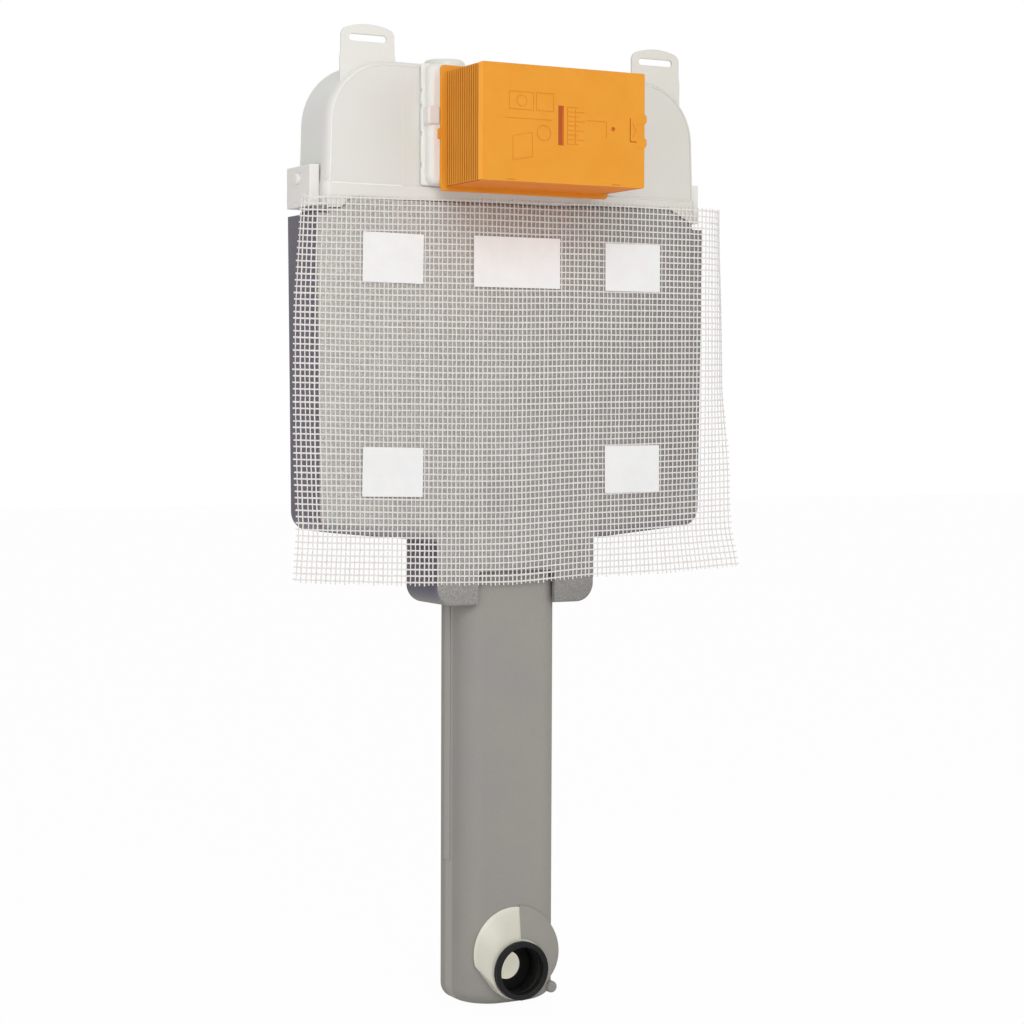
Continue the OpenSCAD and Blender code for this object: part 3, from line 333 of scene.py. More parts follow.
class Finish:
    """A procedural material in the object's own coordinates, from screen colours."""

    def __init__(self, name, colour, roughness, subsurface=(0.0, 0.05), **sockets):
        self.material = bpy.data.materials.new(name)
        self.material.use_nodes = True
        self.tree = self.material.node_tree
        self.shader = self.tree.nodes["Principled BSDF"]
        sockets |= {
            "Base Color": linear(colour), "Roughness": roughness,
            "Subsurface Weight": subsurface[0], "Subsurface Scale": subsurface[1],
        }
        for socket, value in sockets.items():
            self.shader.inputs[socket.replace("_", " ")].default_value = value
        self.place = self.node("TexCoord", {}, "Object")
        self.facing = self.node("TexCoord", {}, "Normal")
        self.height = None

    def node(self, kind, feeds, output, **settings):
        return add_node(self.tree, kind, feeds, output, **settings)

    def link(self, source, socket):
        self.tree.links.new(source, self.shader.inputs[socket])

    def stretched(self, scale):
        return self.node("Mapping", {"Vector": self.place, "Scale": scale}, "Vector")

    def noise(self, size, detail=3.0, roughness=0.5, stretch=(1, 1, 1)):
        """Noise whose lumps are about size millimetres wide."""
        feeds = {"Scale": 1 / (size * MM), "Detail": detail, "Roughness": roughness}
        feeds["Vector"] = self.stretched(stretch)
        return self.node("TexNoise", feeds, "Fac")

    def cells(self, size, output="Distance"):
        feeds = {"Vector": self.place, "Scale": 1 / (size * MM)}
        return self.node("TexVoronoi", feeds, output)

    def along(self, axis, source=None):
        """One coordinate of the place, in metres, or of another vector."""
        source = self.place if source is None else source
        return self.node("SeparateXYZ", {"Vector": source}, axis)

    def maths(self, operation, a, b=None):
        feeds = {0: a} if b is None else {0: a, 1: b}
        return self.node("Math", feeds, "Value", operation=operation)

    def product(self, first, *others):
        for other in others:
            first = self.maths("MULTIPLY", first, other)
        return first

    def away(self, axis, middle=0.0):
        """Distance from a middle given in millimetres, along an axis and in metres."""
        return self.maths("ABSOLUTE", self.maths("SUBTRACT", self.along(axis), middle * MM))

    def span(self, value, low, high, from_low=0.0, from_high=1.0):
        """Brings a value from one range to another and holds it at the ends."""
        feeds = dict(enumerate((value, from_low, from_high, low, high)))
        return self.node("MapRange", feeds, "Result")

    def rise(self, source, start, end, peak=1.0):
        """From 0 at the start to the peak at the end, in mm along an axis or another length."""
        length = self.along(source) if isinstance(source, str) else source
        return self.span(length, 0.0, peak, start * MM, end * MM)

    def mix(self, factor, a, b):
        """Colour between a and b, each a screen colour or another node's output."""
        a, b = (linear(c) if isinstance(c, tuple) else c for c in (a, b))
        return self.node("Mix", {0: factor, 6: a, 7: b}, 2, data_type="RGBA")

    def tones(self, a, b, size):
        """Colour that wanders between a and b over lumps of that size."""
        return self.mix(self.span(self.noise(size, 2), 0, 1, 0.3, 0.7), a, b)

    def colour(self, source):
        self.link(source, "Base Color")

    def rough(self, size, low, high):
        self.link(self.span(self.noise(size), low, high), "Roughness")

    def glow(self, source, strength):
        self.link(source, "Emission Color")
        self.shader.inputs["Emission Strength"].default_value = strength

    def bump(self, value, depth, strength):
        """Relief of the given depth in millimetres, added to the relief there is."""
        feeds = {"Height": value, "Strength": strength, "Distance": depth * MM}
        if self.height is not None:
            feeds["Normal"] = self.height
        self.height = self.node("Bump", feeds, "Normal")
        self.link(self.height, "Normal")
        return self


def milky_plastic():
    f = Finish("milky_plastic", (224, 222, 217), 0.34, (0.2, 0.012))
    f.shader.inputs["Subsurface Radius"].default_value = (1.0, 0.9, 0.8)
    wall = f.tones((228, 225, 221), (225, 226, 218), 60)
    # painted shade: the tank turns darker towards its right, beside the box
    wall = f.mix(f.rise("X", 60, 170, 0.8), wall, (212, 210, 201))
    # painted highlight: the ridge at the left edge of the front and the left of the collar's bead
    # are whitened, as if catching the light
    ridge = f.product(
        f.rise("Y", TANK_FRONT - 0.28, TANK_FRONT - 0.35),
        f.rise("Z", COLLAR_TOP + 0.1, COLLAR_TOP + 0.3),
        f.rise("X", -142, -172),
    )
    bead = f.rise("Y", tank_lo.y - 0.1, tank_lo.y - 0.3)
    painted_highlight = f.product(f.maths("MAXIMUM", ridge, bead), f.rise("X", 20, -20))
    f.colour(f.mix(painted_highlight, wall, (243, 243, 240)))
    f.rough(25, 0.28, 0.42)
    f.bump(f.noise(14, 2), 0.25, 0.5)
    return f.bump(f.noise(0.8, 2), 0.02, 0.5)


def white_plastic():
    """White, with painted light that makes the inlet cap a little lighter and cooler."""
    f = Finish("white_plastic", (232, 230, 225), 0.4, (0.2, 0.005))
    plain = f.tones((233, 231, 227), (229, 228, 222), 40)
    # painted light: a lighter, cooler tone on the top of the inlet cap
    cap = f.rise("Z", TANK_TOP + 0.1, TANK_TOP + 0.2)
    f.colour(f.mix(cap, plain, (238, 237, 246)))
    f.rough(12, 0.34, 0.48)
    return f.bump(f.noise(0.7, 3), 0.02, 0.6)


def orange_plastic():
    """Thin walls, with a painted glow inside the box for the light that comes through them, painted
    shade in its grooves and on downward faces, and a painted highlight on the lid's left rim.
    """
    f = Finish("orange_plastic", (230, 154, 50), 0.48, Specular_IOR_Level=0.15)
    wall = f.tones((231, 156, 52), (227, 151, 47), 30)
    # painted shade: faces that turn downwards take a deeper, redder orange
    below = f.span(f.along("Z", f.facing), 1.0, 0.0, -0.8, -0.4)
    wall = f.mix(below, wall, (246, 140, 36))
    beside = f.away("X")
    rim_end = lid_lo.y + LID_RIM + 0.1
    # painted shade in the grooves between the ribs
    groove = f.product(
        f.rise(beside, LID_HALF - 0.6, LID_HALF - 2.4),
        f.rise(beside, LID_HALF - 3.6, LID_HALF - 3.3),
        f.rise("Y", rim_end, rim_end + 0.2),
        f.rise("Y", box_hi.y - 2.8, box_hi.y - 3.2),
    )
    f.colour(f.mix(groove, wall, (150, 62, 26)))
    half_height = (lid_hi.z - lid_lo.z) / 2
    # painted glow on the inner walls of the lid and box, standing for light that comes through the
    # thin orange walls
    inside = f.product(
        f.rise("Y", lid_lo.y + 2.4, lid_lo.y + 2.7),
        f.rise(beside, LID_HALF - 3.6, LID_HALF - 4.1),
        f.rise(f.away("Z", BOX_Z), half_height - 3.6, half_height - 4.1),
    )
    # painted highlight: the lid's left rim glows light orange
    rim_highlight = f.product(
        f.rise("Y", rim_end + 0.2, rim_end), f.rise("X", lid_lo.x + 0.4, lid_lo.x + 0.1)
    )
    glow = f.mix(inside, BLACK, (206, 138, 92))
    f.glow(f.mix(rim_highlight, glow, (222, 148, 50)), 0.36)
    f.rough(9, 0.44, 0.56)
    return f.bump(f.noise(0.45, 3), 0.03, 0.7)


def bead_foam():
    """Moulded beads, with painted light that makes the front lighter on the left, and painted shade
    on the side and under faces.
    """
    f = Finish("bead_foam", (165, 163, 156), 0.82)
    bead = f.cells(1.9)
    fine = f.noise(0.7, 3, 0.6)
    # painted light: the front of the foam is lighter towards the left and darker towards the right
    front = f.mix(f.rise("X", -210, -21), (222, 219, 211), (191, 188, 182))
    front = f.mix(f.rise("X", -21, 210), front, (145, 142, 138))
    for start, end, share in ((-200, -500, 0.16), (-485, -515, 0.42)):
        front = f.mix(f.rise("Z", start, end, share), front, (118, 117, 115))
    beside = f.maths("SUBTRACT", f.away("X"), NECK_HALF * MM)
    edge = f.maths("ADD", f.maths("MULTIPLY", beside, 0.095), SLOPE_END * MM)
    band = f.rise(f.maths("SUBTRACT", f.along("Z"), edge), 12, 4, 0.75)
    front = f.mix(f.product(band, f.rise(beside, 0, 2)), front, (122, 119, 133))
    mottled = f.mix(f.span(f.cells(1.9, "Color"), 0.0, 0.3), front, (126, 124, 121))
    speckled = f.mix(f.span(fine, 0.0, 0.45, 0.45, 0.75), mottled, (112, 110, 108))
    beads = f.mix(f.span(bead, 0.0, 0.38, 0.3, 0.62), speckled, (104, 102, 102))
    # painted shade: faces that turn sideways get a dark purple-grey, downward faces a lighter grey
    side = f.span(f.maths("ABSOLUTE", f.along("X", f.facing)), 0.0, 0.92, 0.45, 0.8)
    below = f.span(f.along("Z", f.facing), 0.0, 1.0, -0.2, -0.9)
    painted_side_shade = f.mix(below, (100, 96, 109), (140, 137, 146))
    f.colour(f.mix(f.product(side, f.rise(f.away("X"), 60, 70)), beads, painted_side_shade))
    f.bump(f.maths("SUBTRACT", 1.0, bead), 0.3, 0.6)
    return f.bump(fine, 0.1, 0.6)


def fine_foam():
    """Foam of the pipe cover, with a lighter band along its sides."""
    f = Finish("fine_foam", (150, 147, 140), 0.78)
    lumps = f.span(f.noise(70, 2), 0, 1, 0.35, 0.65)
    broad = f.mix(lumps, (155, 152, 144), (151, 148, 145))
    grain = f.noise(1.1, 4, 0.65)
    band = f.product(f.rise("Y", 28, 32), f.rise("Y", 46, 43))
    broad = f.mix(band, broad, (172, 169, 164))
    f.colour(f.mix(f.span(grain, 0.0, 0.35, 0.3, 0.75), broad, (133, 131, 127)))
    f.bump(f.noise(30, 2), 0.5, 0.5)
    f.bump(f.cells(1.3), 0.12, 0.5)
    return f.bump(grain, 0.12, 0.8)


def cream_plastic():
    """Thin translucent plastic, with a painted glow in its bore for the light that comes through
    the elbow.
    """
    f = Finish("cream_plastic", (219, 217, 203), 0.3, (0.25, 0.008))
    f.colour(f.tones((214, 213, 200), (207, 205, 191), 25))
    f.rough(10, 0.24, 0.38)
    # painted glow: the parts behind the front of the cover shine, standing for light that comes
    # through the thin elbow
    f.glow(f.mix(f.rise("Y", -4, 4), BLACK, (196, 193, 186)), 0.52)
    return f.bump(f.noise(0.6, 2), 0.012, 0.5)


def white_tape():
    """Matt adhesive sheet with the weave of the net showing through it faintly."""
    f = Finish("white_tape", (239, 234, 233), 0.6, (0.2, 0.001))
    f.colour(f.tones((243, 238, 238), (239, 234, 233), 18))
    for axis, pitch in (("X", NET_PITCH_X), ("Z", NET_PITCH_Z)):
        turns = f.maths("MULTIPLY", f.along(axis), math.tau / (pitch * MM))
        f.bump(f.span(f.maths("SINE", turns), 0, 1, -1, 1), 0.05, 0.4)
    return f.bump(f.noise(20, 2), 0.4, 0.4)


def drawn_steel():
    f = Finish("drawn_steel", (200, 202, 204), 0.28, Metallic=1.0)
    f.link(f.span(f.noise(2, stretch=(0.05, 1, 1)), 0.2, 0.36), "Roughness")
    return f.bump(f.noise(1, 2, stretch=(0.05, 1, 1)), 0.005, 0.5)


def steel_braid():
    """Crossing strands of fine wire."""
    f = Finish("steel_braid", (190, 192, 195), 0.35, Metallic=1.0)
    for slant in (1, -1):
        feeds = {"Vector": f.stretched((1, slant, slant)), "Scale": 120}
        wave = f.node("TexWave", feeds, "Fac", bands_direction="DIAGONAL")
        f.bump(wave, 0.4, 0.7)
    f.colour(f.mix(f.span(f.cells(1.2), 0.0, 0.5), (204, 206, 208), (120, 122, 126)))
    return f


def plain_finish(name, colour, roughness, a, b, size, grain, rough=None, stretch=(1, 1, 1), **more):
    """Two tones over lumps of a size, and a relief of (size, detail, depth, strength)."""
    f = Finish(name, colour, roughness, **more)
    f.colour(f.tones(a, b, size))
    if rough:
        f.rough(*rough)
    lumps, detail, depth, strength = grain
    return f.bump(f.noise(lumps, detail, stretch=stretch), depth, strength)


FINISHES = {
    "translucent_plastic": milky_plastic(),
    "white_plastic": white_plastic(),
    "orange_plastic": orange_plastic(),
    "yellow_plastic": plain_finish(
        "yellow_plastic", (226, 205, 120), 0.36, (228, 207, 124), (221, 199, 112), 12,
        (0.5, 2, 0.015, 0.6), subsurface=(0.1, 0.002),
    ),
    "blue_plastic": plain_finish(
        "blue_plastic", (168, 196, 216), 0.34, (171, 199, 218), (161, 190, 211), 20,
        (0.5, 2, 0.015, 0.6), subsurface=(0.15, 0.003),
    ),
    "cream_plastic": cream_plastic(),
    "white_pipe": plain_finish(
        "pipe_plastic", (226, 226, 223), 0.28, (228, 228, 225), (221, 221, 218), 30,
        (5, 2, 0.02, 0.5), stretch=(1, 1, 0.05), subsurface=(0.1, 0.003),
    ),
    "speckled_foam": bead_foam(),
    "smooth_foam": fine_foam(),
    "black_rubber": plain_finish(
        "black_rubber", (17, 17, 18), 0.5, (20, 20, 21), (13, 13, 14), 9,
        (0.5, 3, 0.02, 0.7), (4, 0.42, 0.56), Specular_IOR_Level=0.2,
    ),
    "grey_rubber": plain_finish(
        "grey_rubber", (92, 92, 92), 0.7, (96, 96, 96), (84, 84, 84), 8, (0.4, 3, 0.02, 0.7)
    ),
    "brass": plain_finish(
        "turned_brass", (206, 176, 106), 0.3, (209, 179, 110), (196, 166, 98), 6,
        (3, 2, 0.01, 0.5), (3, 0.24, 0.42), (0.1, 0.1, 8), Metallic=1.0,
    ),
    "steel": drawn_steel(),
    "steel_braid": steel_braid(),
    "net_glass_fibre": plain_finish(
        "coated_yarn", (228, 224, 221), 0.55, (232, 228, 226), (222, 217, 213), 4,
        (0.35, 2, 0.05, 0.7), subsurface=(0.15, 0.001),
    ),
    "white_tape": white_tape(),
}
SLOT_OF = {p["node"]: p["material_slot"] for p in frame["record"]["subparts"]}
BODY_OF = {n: b for b, ns in frame["record"]["behaviour"]["bodies"].items() for n in ns}
SHARP = math.radians(32)


def paint(piece, slot):
    piece.data.materials.clear()
    piece.data.materials.append(FINISHES[slot].material)


def settle(piece, name, node, level=True):
    """Gives a finished piece its name, finish and body, and lets it stand for the node."""
    slot = SLOT_OF[node]
    piece.name = name
    paint(piece, slot)
    piece.data.shade_smooth()
    piece.data.set_sharp_from_angle(angle=SHARP)
    if level:
        piece.modifiers.new("normals", "WEIGHTED_NORMAL").keep_sharp = True
    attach(piece, BODY_OF[node])
    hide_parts(node)


# Tank

def flipped(corners):
    """The corners mirrored and in reverse order."""
    return [(-x, z, r) for x, z, r in corners[::-1]]


def top_corners(inset, drop=0):
    """Outline of the top of the tank, with its foot lower by the drop."""
    right = [
        (COLLAR_HALF - inset, COLLAR_TOP + inset - drop, 0),
        (TOP_HALF - inset, TANK_TOP - inset, SHOULDER_R - inset),
    ]
    return right + flipped(right)


def lower_corners(inset):
    """Outline of the tank inside the jacket."""
    half = jacket_hi.x - 15.6 - inset
    low = jacket_lo.z + 87 + inset
    sump = 61.5 - inset
    right = [
        (sump, tank_lo.z + inset, 0), (sump, low - 15, 0),
        (half, low, 14 - inset), (half, COLLAR_TOP - TANK_WALL, 0),
    ]
    return right + flipped(right)


def hanger_outline(x):
    """Hanger with an arched head and sides that widen a little at the tank."""
    top, half = tank_hi.z, HANGER_HALF
    right = [
        (half + 1, TANK_TOP - 40, 0), (half + 1, TANK_TOP, 0), (half, TANK_TOP + 6, 12),
        (half, top - 5, 8), (half * 0.36, top + 0.1, 60),
    ]
    return rounded([(x + d, z, r) for d, z, r in right + flipped(right)], 10)


# Lower edge of the collar and upper edge of the foam, from the left end to the right
SEAM = [(-183, -156.5), (-175, -146.5), (40, -145.3), (98, -143), (168, -142), (190, -153.5)]
SEAM_LOW = -157
CUT_X = 196.5


def seam_corners(half, end, run, drop):
    """Points of the seam between the collar and the foam, from right to left."""
    right = [(half, end, 0), (CUT_X + run, end, 0), (CUT_X, SEAM_LOW - drop, 0)]
    return [*right, *((x, z - drop, 0) for x, z in SEAM[::-1]), *flipped(right)]


def service_opening(gap):
    return rectangle(guard_lo.x - gap, guard_lo.z - gap, guard_hi.x + gap, guard_hi.z + gap, 2)


def milky_tank():
    """Blow-moulded tank: top with raised edges, collar, hangers and the room inside."""
    front, back = tank_lo.y, tank_hi.y
    tank = slab(rounded(top_corners(0, 8), 20), TANK_FRONT, back, 5, 7, 8, stretch=2.4)
    lower_front, lower_back = jacket_lo.y + 6.3, jacket_hi.y - 0.3
    put(tank, rounded(lower_corners(0), 10), lower_front, lower_back, 3, 3, 3)
    half = COLLAR_HALF + 0.5
    seam = seam_corners(half, clip_lo.z, 0.01, 0)[::-1]
    collar = rounded([(-half, COLLAR_TOP, 1.5), *seam, (half, COLLAR_TOP, 1.5)], 3)
    put(tank, collar, front, back, 1.4, 1.4, 3)
    for side in (-1, 1):
        bead = flank(side, 122, COLLAR_TOP - 1.8, 198.5, COLLAR_TOP - 0.2, 0.5, 3)
        put(tank, bead, front - 0.5, front + 2, 0.45, 0, 3)
        turn = arc((half - EDGE_R, front + EDGE_R), EDGE_R, 270, 360, 8)
        turn += [(half + 2, front + EDGE_R), (half + 2, front - 2), (half - EDGE_R, front - 2)]
        edge = [(side * x, y) for x, y in turn]
        carve(tank, edge, clip_lo.z - 2, COLLAR_TOP + 0.5, axis="z")
        lip = flank(side, CUT_X, clip_lo.z, tank_hi.x, COLLAR_TOP)
        put(tank, lip, clip_lo.y + 3, back, 0.6, 0.6, 2)
        x = side * SLOT_X
        slot = rectangle(x - 19, -3.1, x + 19, 3.1, 3.09, 8)
        put(tank, hanger_outline(x), -1.5, 1.5, 0.7, 0.7, 3, holes=[slot])
    seams = [rounded(top_corners(inset, 20), 20) for inset in (4, 5.3)]
    put(tank, seams[0], TANK_FRONT - 0.7, TANK_FRONT + 3, 0.5, 0, 4, holes=seams[1:])
    foot, head = COLLAR_TOP - 3, TANK_TOP - 11
    pad = [(-122, foot, 0), (122, foot, 0), (122, head, 8), (-122, head, 8)]
    put(tank, rounded(pad, 6), TANK_FRONT - 0.25, TANK_FRONT + 4, 0.25, 0, 3)
    room = rounded(top_corners(TANK_WALL), 16)
    lower_room = rounded(lower_corners(TANK_WALL), 8)
    middle = rectangle(-COLLAR_HALF + 3, SEAM[2][1] + 3, COLLAR_HALF - 3, COLLAR_TOP + 6)
    cut(
        tank,
        slab(room, TANK_FRONT + 3, back - 3, 4, 4, 3),
        slab(lower_room, lower_front + 3, lower_back - 3),
        slab(middle, TANK_FRONT + 3, back - 3),
        slab(service_opening(FIT), TANK_FRONT - 9, TANK_FRONT + 4),
    )
    nipple_lo, nipple_hi = box_mm("inlet_nipple")
    inlet_x, axis_y = ((nipple_lo + nipple_hi) / 2)[:2]
    for x in (-inlet_x, inlet_x):
        carve(tank, ring(x, axis_y, 10.8), TANK_TOP - 9, TANK_TOP + 5, axis="z")
    carve(tank, ring(0, axis_y, 20.3), tank_lo.z - 5, tank_lo.z + 9, axis="z")
    settle(tank, "tank", "tank_shell")


def white_frame():
    """Plate with a notched border and a raised ring round the service opening."""
    left, right, low, high = frame_lo.x, frame_hi.x, frame_lo.z, frame_hi.z
    front, back = frame_lo.y, frame_hi.y
    border = [(left, low, 2.5), (right, low, 2.5), (right, high, 3), (left, high, 3)]
    for z0, z1 in ((-47, -43.5), (-61, -57.5), (-87, -83), (-116, -112)):
        border += [(left, z1, 0), (left + 0.9, z1, 0), (left + 0.9, z0, 0), (left, z0, 0)]
    opening = service_opening(FIT)
    made = slab(rounded(border, 4), back - 3, back, 1.5, 0, 4, holes=[opening])
    ridge = rectangle(-100.5, low + 0.5, 100.5, high - 0.5, 8)
    raised = slab(ridge, front + 2, back - 2, 6, 0, 7)
    add(made, carve(raised, service_opening(FIT + 0.01), front + 1, back))
    for side in (-1, 1):
        catch = flank(side, 90.4, BOX_Z + 3.6, 102.6, BOX_Z + 20.8, 2.4, 4)
        put(made, catch, front, back - 2, 2, 0, 4)
        for z in (-122, -128):
            pin = flank(side, 97.5, z, 98.5, z + 1.4, 0.3, 1)
            put(made, pin, back - 3.6, back - 2)
    settle(made, "white_frame", "service_frame")


def side_clip(name, side):
    """Clip over the edge of the collar, with its cap, its boss and the ribs at its side."""
    low, high = box_mm(name)
    inner, outer = tank_hi.x + FIT, tank_hi.x + 7.3
    shape = flank(side, inner, low.y, outer, high.y, 1, 3)
    made = slab(shape, low.z, high.z, 0.8, 0.8, 3, axis="z")
    front = low.y + 0.1
    cap = flank(side, inner - 2.5, front, outer - 3, high.y - 1, 0.5, 2)
    put(made, cap, COLLAR_TOP + FIT, high.z - 0.1, 0.3, 0.3, 2, axis="z")
    face = flank(side, inner - 2.5, front, outer - 3, low.y + 2.7, 0.5, 2)
    put(made, face, low.z + 0.1, high.z - 0.1, 0.3, 0.3, 2, axis="z")
    boss = ring((low.y + high.y) / 2, (low.z + high.z) / 2 + 7, 5.2)
    depth = sorted(((outer - 1) * side, (outer + 3.2) * side))
    put(made, boss, *depth, 1.2, 1.2, 4, axis="x")
    depth = sorted(((outer - 0.8) * side, (outer + 0.3) * side))
    for z in (low.z + 6, high.z - 6):
        rib = rectangle(low.y + 5, z - 0.8, high.y - 6, z + 0.8, 0.6, 3)
        put(made, rib, *depth, 0.4, 0.4, 2, axis="x")
    settle(made, "clip_" + name, name)


# Protective box

BOX_WALL = 2
RIBS = 15
RIB_DEPTH = 2.9


def orange_box():
    """Box with its flange and the cutting ribs round its two sides."""
    flange_front = box_hi.y - 2.5
    flange_x = LID_HALF + 4.5
    flange = rectangle(-flange_x, box_lo.z, flange_x, box_hi.z, 4, 8)
    half = LID_HALF - BOX_WALL - FIT
    low, high = lid_lo.z + BOX_WALL + FIT, lid_hi.z - BOX_WALL - FIT
    hollow = rectangle(-half + 2, low + 2, half - 2, high - 2, 1, 3)
    made = slab(flange, flange_front, box_hi.y, 1.2, 0.3, 4, holes=[hollow])
    behind_lid = lid_lo.y + LID_RIM + 0.4
    pitch = (flange_front - behind_lid) / RIBS
    crest = LID_HALF - 0.3
    groove = crest - RIB_DEPTH
    rib = [
        (0, groove), (0.03, crest - 0.5), (0.1, crest),
        (0.38, crest), (0.46, crest - 0.5), (0.5, groove),
    ]
    wall = [(half - 3, flange_front + 0.5), (groove, flange_front + 0.5)]
    wall += [(x, flange_front - i * pitch - share * pitch) for i in range(RIBS) for share, x in rib]
    wall += [(groove, behind_lid), (half - 3, behind_lid)]
    for side in (-1, 1):
        loop = [(side * x, y) for x, y in wall]
        put(made, loop, lid_lo.z + 0.3, lid_hi.z - 0.3, 0.2, 0.2, 1, axis="z")
    ribbed = rectangle(-half, lid_lo.z + 0.3, half, lid_hi.z - 0.3, 0.5, 2)
    put(made, ribbed, behind_lid, flange_front + 0.5, holes=[hollow])
    neck = rectangle(-half, low, half, high, 0.5, 2)
    put(made, neck, box_lo.y, behind_lid + 0.5, 0.3, 0, 2, holes=[hollow])
    tab = rectangle(-flange_x - 2.4, BOX_Z - 9, -flange_x + 1, BOX_Z, 0.8, 3)
    put(made, tab, flange_front, box_hi.y, 0.4, 0.2, 2)
    settle(made, "box", "protective_box")


LATCH_X = 70
LATCH_END = 81.5
LATCH_H = 22
MARK_DEPTH = 0.5
MARK_WIDTH = 0.8


# Plain frames and rulings, with no meaning, where the lid carries embossed drawings,
# measured from the middle of the lid
MARKS = [
    *([(2.5, 17 - i * 4.2), (14 + 6 * (i % 2), 17 - i * 4.2)] for i in range(9)),
    [(2.5, 17), (2.5, -16.6)],
    [(11, 17), (11, -16.6)],
    [(-58, 28), (-33, 28), (-33, 12), (-58, 12), (-58, 28)],
    [(-30, 28), (-12, 28), (-12, 12), (-30, 12), (-30, 28)],
    [(-54, -12), (-34, -8), (-34, -30), (-54, -34), (-54, -12)],
    arc((-22, -8), 7, 0, 360, 20),
    arc((-45, 20), 5, 0, 360, 20),
    [(-62, 4), (-14, 4)],
    [(24, 6), (44, 6), (44, -8)],
]


def groove_solids(front):
    """Solids that cut the marks into the lid, one for each straight stretch."""
    made = []
    for points in MARKS:
        for (x0, z0), (x1, z1) in zip(points, points[1:]):
            along = Vector((x1 - x0, z1 - z0)).normalized() * MARK_WIDTH / 2
            across = Vector((-along.y, along.x))
            a = Vector((x0, BOX_Z + z0)) - along
            b = Vector((x1, BOX_Z + z1)) + along
            loop = [a - across, b - across, b + across, a + across]
            made.append(slab(loop, front - 0.5, front + MARK_DEPTH))
    return made


def orange_lid():
    """Lid with its slot, sight hole, latch tongue, grips and grooved marks."""
    front, low, high = lid_lo.y, lid_lo.z, lid_hi.z
    face = front + 2.5
    outline = rectangle(-LID_HALF, low, LID_HALF, high, 1.6, 4)
    slot = rectangle(-6.8, BOX_Z - 18, -1, BOX_Z + 18, 0.4, 2)
    hole = ring(51.5, BOX_Z, 2, 24)
    x0, x1 = LATCH_X - 0.45, LATCH_X + 0.45
    z0, z1 = BOX_Z - LATCH_H / 2, BOX_Z + LATCH_H / 2
    latch = rounded([
        (x0, z0, 0.4), (LATCH_END, z0, 0.3), (LATCH_END, z0 + 0.9, 0.3),
        (x1, z0 + 0.9, 0.2), (x1, z1, 0.4), (x0, z1, 0.4),
    ], 2)
    made = slab(outline, front, face + 0.5, 0.3, 0, 3, holes=[slot, hole, latch])
    inner = rectangle(-LID_HALF + 2, low + 2, LID_HALF - 2, high - 2, 0.8, 3)
    put(made, outline, face - 0.5, front + LID_RIM, 0, 0.3, 2, holes=[inner])
    for z in (z0, z1):
        grip = rectangle(LID_HALF - 9, z - 4.8, LID_HALF + 2.2, z + 4.8, 3.4, 6)
        put(made, grip, front - 0.3, front + LID_RIM - 1.5, 0.3, 0.5, 3)
    relief = [(72.5, BOX_Z + 7), (77, BOX_Z), (72.5, BOX_Z - 7)]
    carve(made, relief, front - 1, front + 0.5)
    for x in (-56, 55):
        notch = rectangle(x - 4.5, low + 1.4, x + 4.5, low + 2.2)
        carve(made, notch, front - 1, front + 0.9)
    cut(made, *groove_solids(front))
    settle(made, "lid", "box_lid")


# Foam jacket

JACKET_HALF = jacket_hi.x + 1.8
JACKET_R = 18
CORNER_Z = jacket_lo.z + 73
cover_lo, cover_hi = box_mm("pipe_cover_front")
cover_back_lo, cover_back_hi = box_mm("pipe_cover_back")
COVER_HALF = cover_back_hi.x
COVER_FRONT = -0.5


def jacket_loop():
    right = [
        (NECK_HALF, jacket_lo.z, JACKET_R), (NECK_HALF, SLOPE_END, 1.5),
        (JACKET_HALF - 3.3, CORNER_Z, JACKET_R),
    ]
    seam = seam_corners(JACKET_HALF, SEAM_LOW - FIT - 4.5, 1, FIT)
    return rounded([*right, *seam, *flipped(right)], 10)


def head_room(front, back):
    """Room for the head of the pipe cover."""
    half = COVER_HALF + FIT
    return slab(rectangle(-half, jacket_lo.z - 5, half, tank_lo.z + 1), front, back)


def foam_front():
    front, split = jacket_lo.y, jacket_hi.y
    made = slab(jacket_loop(), front, split, 3.2, 0.2, 5)
    room = slab(rounded(lower_corners(-FIT), 8), front + 6, split + 2)
    between_legs = rectangle(-41.5, jacket_lo.z - 10, 41.5, jacket_lo.z + 32, 4, 4)
    gap = slab(between_legs, front - 5, COVER_FRONT + 1)
    cut(made, room, head_room(COVER_FRONT - FIT, split + 2), gap)
    settle(made, "foam_front", "jacket_front")


def foam_back():
    low, high = box_mm("jacket_back")
    made = slab(jacket_loop(), low.y, high.y, 0.2, 2.4, 4)
    cut(made, head_room(low.y - 2, low.y + 0.8))
    settle(made, "foam_back", "jacket_back")


# Net, pads and label

NET_Y = box_mm("plaster_net")[0].y + 0.6
NET_LEFT = -229
NET_RIGHT = 243
NET_TOP = -143
NET_LOW = -500
NET_MIDDLE = 7
NET_HALF = 236


def smooth(a, b, v):
    t = min(1, max(0, (v - a) / (b - a)))
    return t * t * (3 - 2 * t)


def through(value, stops):
    """Smooth curve through (position, value) stops."""
    for (p0, v0), (p1, v1) in zip(stops, stops[1:]):
        if value <= p1:
            return v0 + (v1 - v0) * smooth(p0, p1, max(p0, value))
    return stops[-1][1]


# Curvature of the free edges of the net, from its top to its foot
RIGHT_BEND = [(0, 0.030), (0.45, 0.022), (0.8, 0.0), (1, -0.010)]
LEFT_BEND = [(0, -0.035), (0.35, -0.008), (0.8, 0.004), (1, 0.012)]


